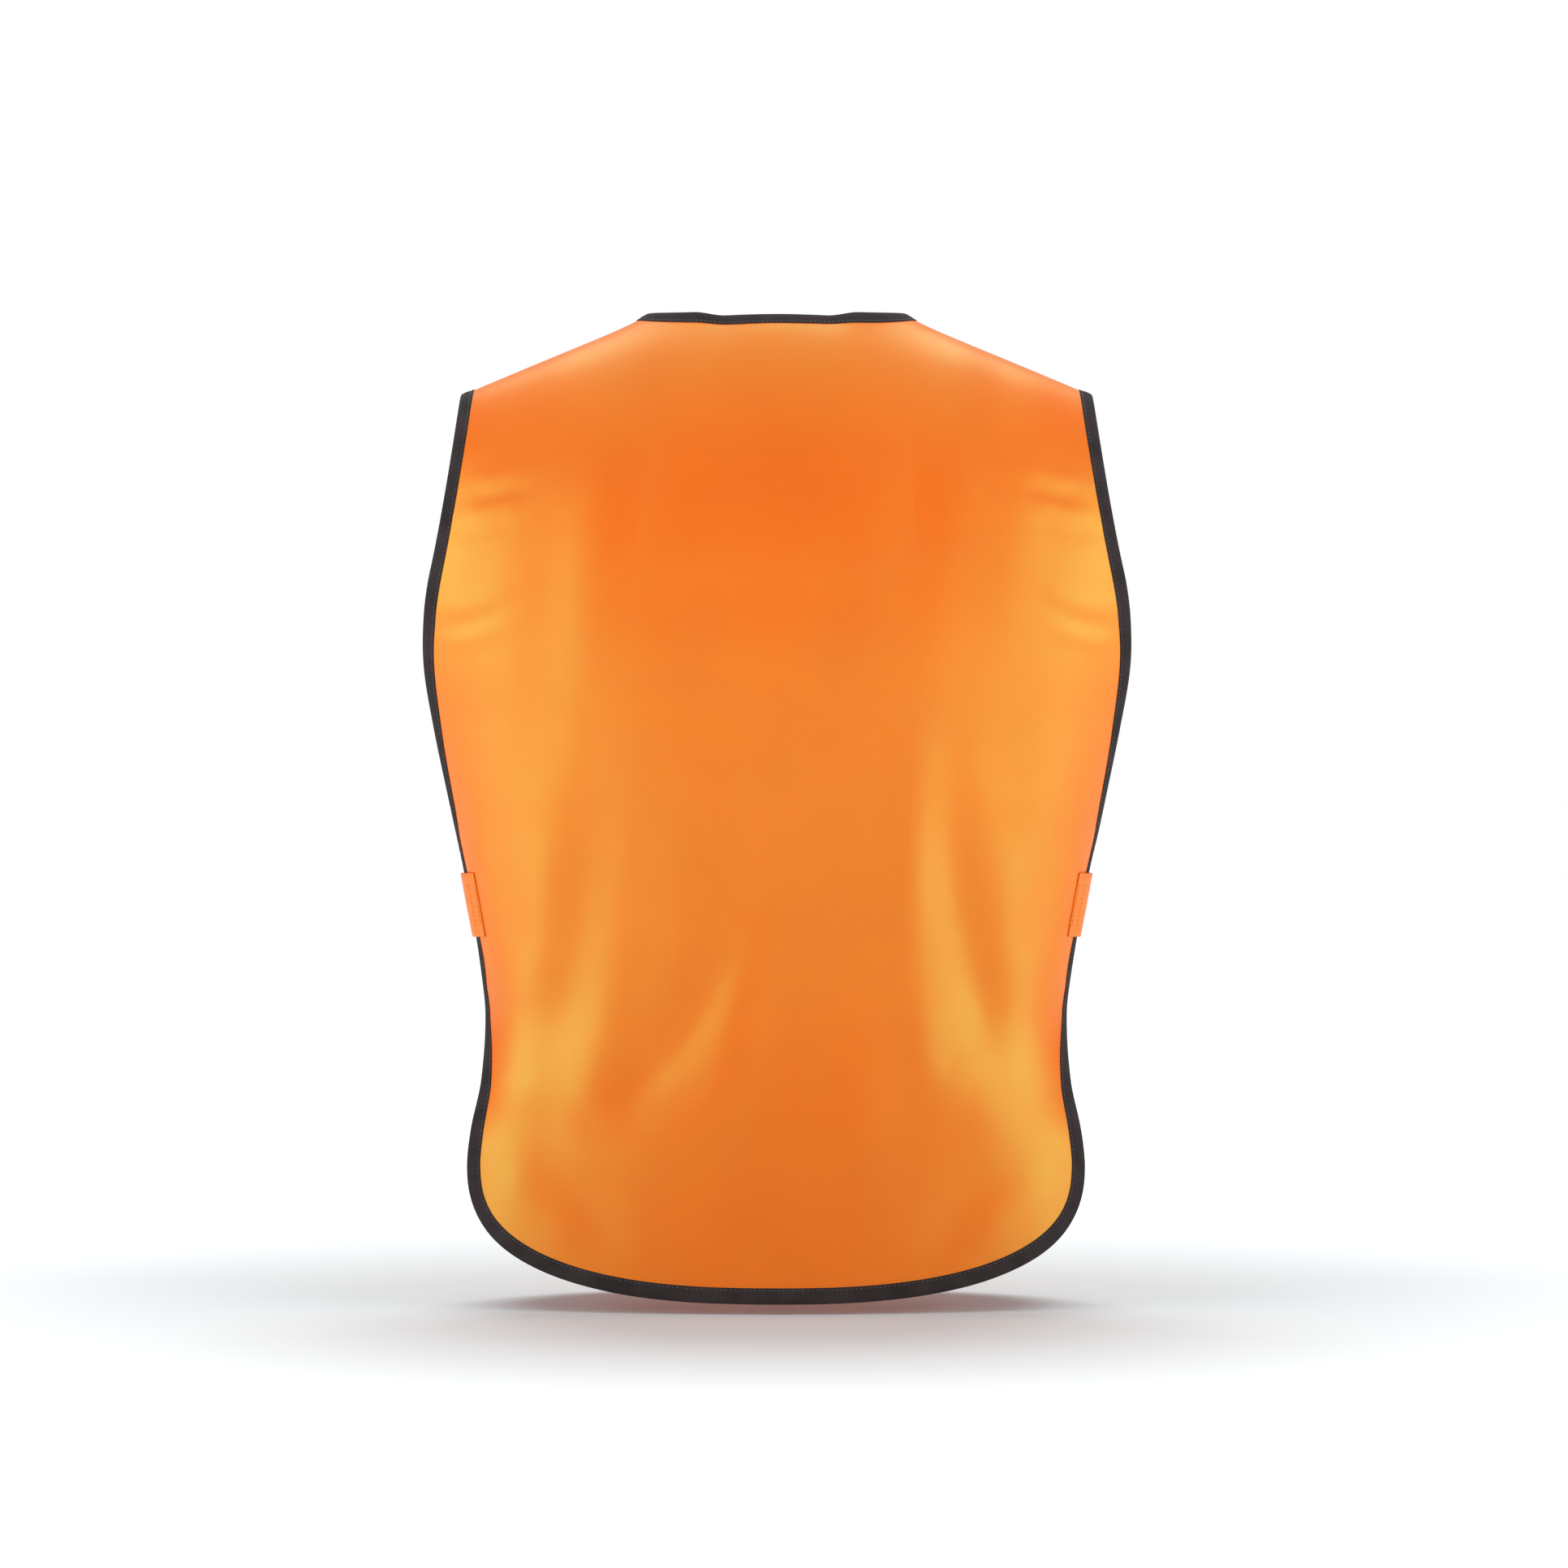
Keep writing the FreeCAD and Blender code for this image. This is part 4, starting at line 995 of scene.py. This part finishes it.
# (distance from the centre line, half depth, half height) along a tooth, from its head
TOOTH_STATIONS = [(5.0, 0.4, 0.25), (5.12, 0.75, 0.5), (5.6, 0.88, 0.62), (6.0, 0.72, 0.45),
                  (6.3, 1.12, 0.7), (7.4, 1.2, 0.75), (7.6, 0.95, 0.5)]
TOOTH_SIDES = 12


def wale_height(x):
    """The tape's face at a distance from the centre line."""
    first, second = [WALE_HEIGHT * np.exp(-((x - place) / WALE_WIDTH) ** 2) for place in WALE_PLACES]
    return 0.22 + first + second


def zip_tape(side):
    """A woven tape with a corded edge that the teeth grip, and two raised wales."""
    rounded = np.linspace(pi, pi / 3, 5)
    bead = [(TAPE_INNER + 0.6 + 0.6 * np.cos(a), 0.4 * np.sin(a)) for a in rounded]
    wales = [(x, wale_height(x)) for x in np.linspace(TAPE_INNER + 1.2, TAPE_OUTER, 26)]
    top = bead + wales
    section = top + [(x, -y) for x, y in reversed(top)]
    levels = np.linspace(ZIP_FOOT, ZIP_TOP, 220)
    x, y = np.array(section).T
    across = (side * x[None], -TAPE_LEVEL + y[None])
    points = np.stack(np.broadcast_arrays(*across, levels[:, None]), -1)
    faces = tube_faces(*points.shape[:2])
    uv = np.stack(np.broadcast_arrays(x[None] / 100, levels[:, None] / 100), -1)
    name = side_name(side)
    piece = new_piece(name + "_tape_weave", points, faces, TAPE, uv)
    follow(piece, [name + "_zip_tape"], name + "_front")


def zip_teeth(side):
    """Moulded teeth: a clamp on the tape's cord, a waist and a rounded head."""
    angles = np.arange(TOOTH_SIDES) * pi / 6 + pi / 12
    square = np.abs(np.cos(angles)) ** 0.5 * np.sign(np.cos(angles))
    level = np.abs(np.sin(angles)) ** 0.5 * np.sign(np.sin(angles))
    rings = [np.stack([np.full(TOOTH_SIDES, x), square * deep, level * tall], 1)
             for x, deep, tall in TOOTH_STATIONS]
    tooth = np.concatenate(rings)
    tooth[:, 0] *= side
    faces = tube_faces(len(rings), TOOTH_SIDES)
    first = ZIP_FOOT + BOX_HEIGHT + PIN_HEIGHT + TOOTH_HEIGHT * 1.5
    shift = TOOTH_PITCH / 2 if side < 0 else 0
    points, all_faces = [], []
    for i in range(TOOTH_COUNT - (side < 0)):
        base = i * len(tooth)
        points.append(tooth + (0, -TAPE_LEVEL, first + TOOTH_PITCH * i + shift))
        all_faces += [tuple(v + base for v in face) for face in faces]
    name = side_name(side)
    piece = new_piece(name + "_tooth_row", np.concatenate(points), all_faces, PLASTIC)
    follow(piece, [name + "_zip_teeth"], name + "_front")


def refined(node, material, edge_mm, body):
    """A small moulded or cast piece: the frame's own shape with its edges rounded over."""
    piece = frame["nodes"][node].copy()
    piece.data = piece.data.copy()
    piece.name = node + "_finished"
    bpy.context.scene.collection.objects.link(piece)
    shape = bmesh.new()
    shape.from_mesh(piece.data)
    bmesh.ops.remove_doubles(shape, verts=shape.verts, dist=1e-6)
    bmesh.ops.dissolve_limit(shape, angle_limit=radians(1), verts=shape.verts, edges=shape.edges)
    shape.to_mesh(piece.data)
    shape.free()
    piece.data.materials.clear()
    piece.data.materials.append(material)
    rounded = piece.modifiers.new("edges", "BEVEL")
    rounded.width, rounded.segments = edge_mm * MM, 2
    rounded.limit_method, rounded.angle_limit = "ANGLE", radians(35)
    apply_modifiers(piece)
    follow(piece, [node], body)


def build_zip():
    for side in (1, -1):
        zip_tape(side)
        zip_teeth(side)
        name = side_name(side)
        refined(name + "_top_stop", PLASTIC, 0.3, name + "_front")
    refined("zip_insertion_pin", PLASTIC, 0.25, "left_front")
    refined("zip_retainer_pin", PLASTIC, 0.25, "right_front")
    refined("zip_retainer_box", PLASTIC, 0.4, "right_front")
    refined("zip_slider", METAL, 0.22, "slider")
    refined("zip_pull_tab", METAL, 0.25, "pull")


def shoulder_tape(side):
    """The tape inside a shoulder seam, a soft strip across the ridge."""
    x = np.linspace(110, 200, 40)
    reach = np.linspace(-9.2, 9.2, 9)
    way = np.where(reach >= 0, BACK, FRONT)[:, None] + np.zeros_like(x)
    up = ARCH_RUN - np.abs(reach)[:, None] + np.zeros_like(x)
    turn = turn_at(way, x[None, :] + np.zeros_like(up), np.ones_like(up))
    lift = -CLOTH_HALF - 0.55 - 0.08 * np.sin(x / 2.5)[None, :] + np.zeros_like(up)
    points = cloth_point(way, turn, up, lift)
    points[..., 0] *= side
    name = side_name(side)
    piece = new_piece(name + "_seam_tape", points, grid_faces(*up.shape), CLOTH,
                      measured_uv(points))
    thicken(piece, 0.7)
    apply_modifiers(piece)
    follow(piece, [name + "_shoulder_tape"])


# ---- studio ----------------------------------------------------------------------------------

# metres, apart from SENSOR: the width that the camera takes in at the vest, and its distance
VIEW_SPAN, CAMERA_AWAY, SENSOR = 1.052, 4.0, 36
AIM = Vector((-0.005, 0.03, -0.3095))
MIDDLE = Vector((0, 0, -0.32))
SOFTBOX, SOFTBOX_WATTS, SOFTBOX_PLACE = (1.8, 2.6), 52, (2.27, 1.06, -0.3)
ROOM_LIGHT = 0.34
# name, where it shines from, strength and angle of spread
SUNS = (("top", (0.0, 0.2, 1.0), 0.8, 70), ("beyond", (0.0, -0.8, 1.3), 1.8, 40))
CORNERS = ((-1, -1), (1, -1), (1, 1), (-1, 1))
FLOOR_SIZE, FLOOR_LEVEL = 12000, -660
# distances in metres, from the origin above the floor, between which its glow rises, and its range
FLOOR_GLOW = (0.72, 1.1, 0.0, 0.4)


def pale_floor():
    """A plain pale floor, lit a little from within so that it stays white away from the vest."""
    made = Shader("pale_floor", (0.62, 0.66, 0.675), 0.95, Emission_Color=(1, 1, 1, 1))
    away = made.node("ShaderNodeVectorMath", operation="LENGTH")
    made.link(made.place.outputs["Object"], away.inputs[0])
    glow = made.node("ShaderNodeMapRange")
    for socket, value in zip(("From Min", "From Max", "To Min", "To Max"), FLOOR_GLOW):
        glow.inputs[socket].default_value = value
    made.link(away.outputs["Value"], glow.inputs["Value"])
    made.link(glow.outputs["Result"], made.surface.inputs["Emission Strength"])
    return made.material


def set_camera(scene):
    """Square on to the vest's back, level with its middle."""
    camera_data = bpy.data.cameras.new("camera")
    camera_data.sensor_width = SENSOR
    camera_data.lens = SENSOR * CAMERA_AWAY / VIEW_SPAN
    camera = bpy.data.objects.new("camera", camera_data)
    camera.location = AIM + Vector((0, CAMERA_AWAY, 0))
    camera.rotation_euler = (pi / 2, 0, pi)
    scene.collection.objects.link(camera)
    scene.camera = camera


def set_room(scene):
    """Soft light from all round, and plain white wherever the camera sees past the floor."""
    world = bpy.data.worlds.new("studio")
    world.use_nodes = True
    tree = world.node_tree
    tree.nodes["Background"].inputs["Strength"].default_value = ROOM_LIGHT
    seen = tree.nodes.new("ShaderNodeBackground")
    for background in (tree.nodes["Background"], seen):
        background.inputs["Color"].default_value = (1, 1, 1, 1)
    rays, mixed = tree.nodes.new("ShaderNodeLightPath"), tree.nodes.new("ShaderNodeMixShader")
    tree.links.new(rays.outputs["Is Camera Ray"], mixed.inputs[0])
    tree.links.new(tree.nodes["Background"].outputs[0], mixed.inputs[1])
    tree.links.new(seen.outputs[0], mixed.inputs[2])
    tree.links.new(mixed.outputs[0], tree.nodes["World Output"].inputs["Surface"])
    scene.world = world


def set_lamps(scene):
    """A tall softbox to each side, and two wide suns."""
    for name, side in (("left", 1), ("right", -1)):
        lamp = bpy.data.lights.new(name, "AREA")
        lamp.shape, lamp.size, lamp.size_y, lamp.energy = "RECTANGLE", *SOFTBOX, SOFTBOX_WATTS
        light = bpy.data.objects.new(name, lamp)
        light.location = (side * SOFTBOX_PLACE[0], SOFTBOX_PLACE[1], SOFTBOX_PLACE[2])
        light.rotation_euler = (MIDDLE - light.location).to_track_quat("-Z", "Y").to_euler()
        scene.collection.objects.link(light)
    for name, toward, strength, spread in SUNS:
        lamp = bpy.data.lights.new(name, "SUN")
        lamp.energy, lamp.angle = strength, radians(spread)
        light = bpy.data.objects.new(name, lamp)
        light.rotation_euler = Vector(toward).to_track_quat("Z", "Y").to_euler()
        scene.collection.objects.link(light)


def studio():
    scene = bpy.context.scene
    scene.view_settings.view_transform = "Standard"
    set_camera(scene)
    set_room(scene)
    set_lamps(scene)
    corners = [(x * FLOOR_SIZE, y * FLOOR_SIZE, FLOOR_LEVEL) for x, y in CORNERS]
    floor = new_piece("floor", corners, [(0, 1, 2, 3)], pale_floor())


build_back()
for side in (1, -1):
    build_front(side)
    build_tab(side)
    shoulder_tape(side)
build_zip()
studio()
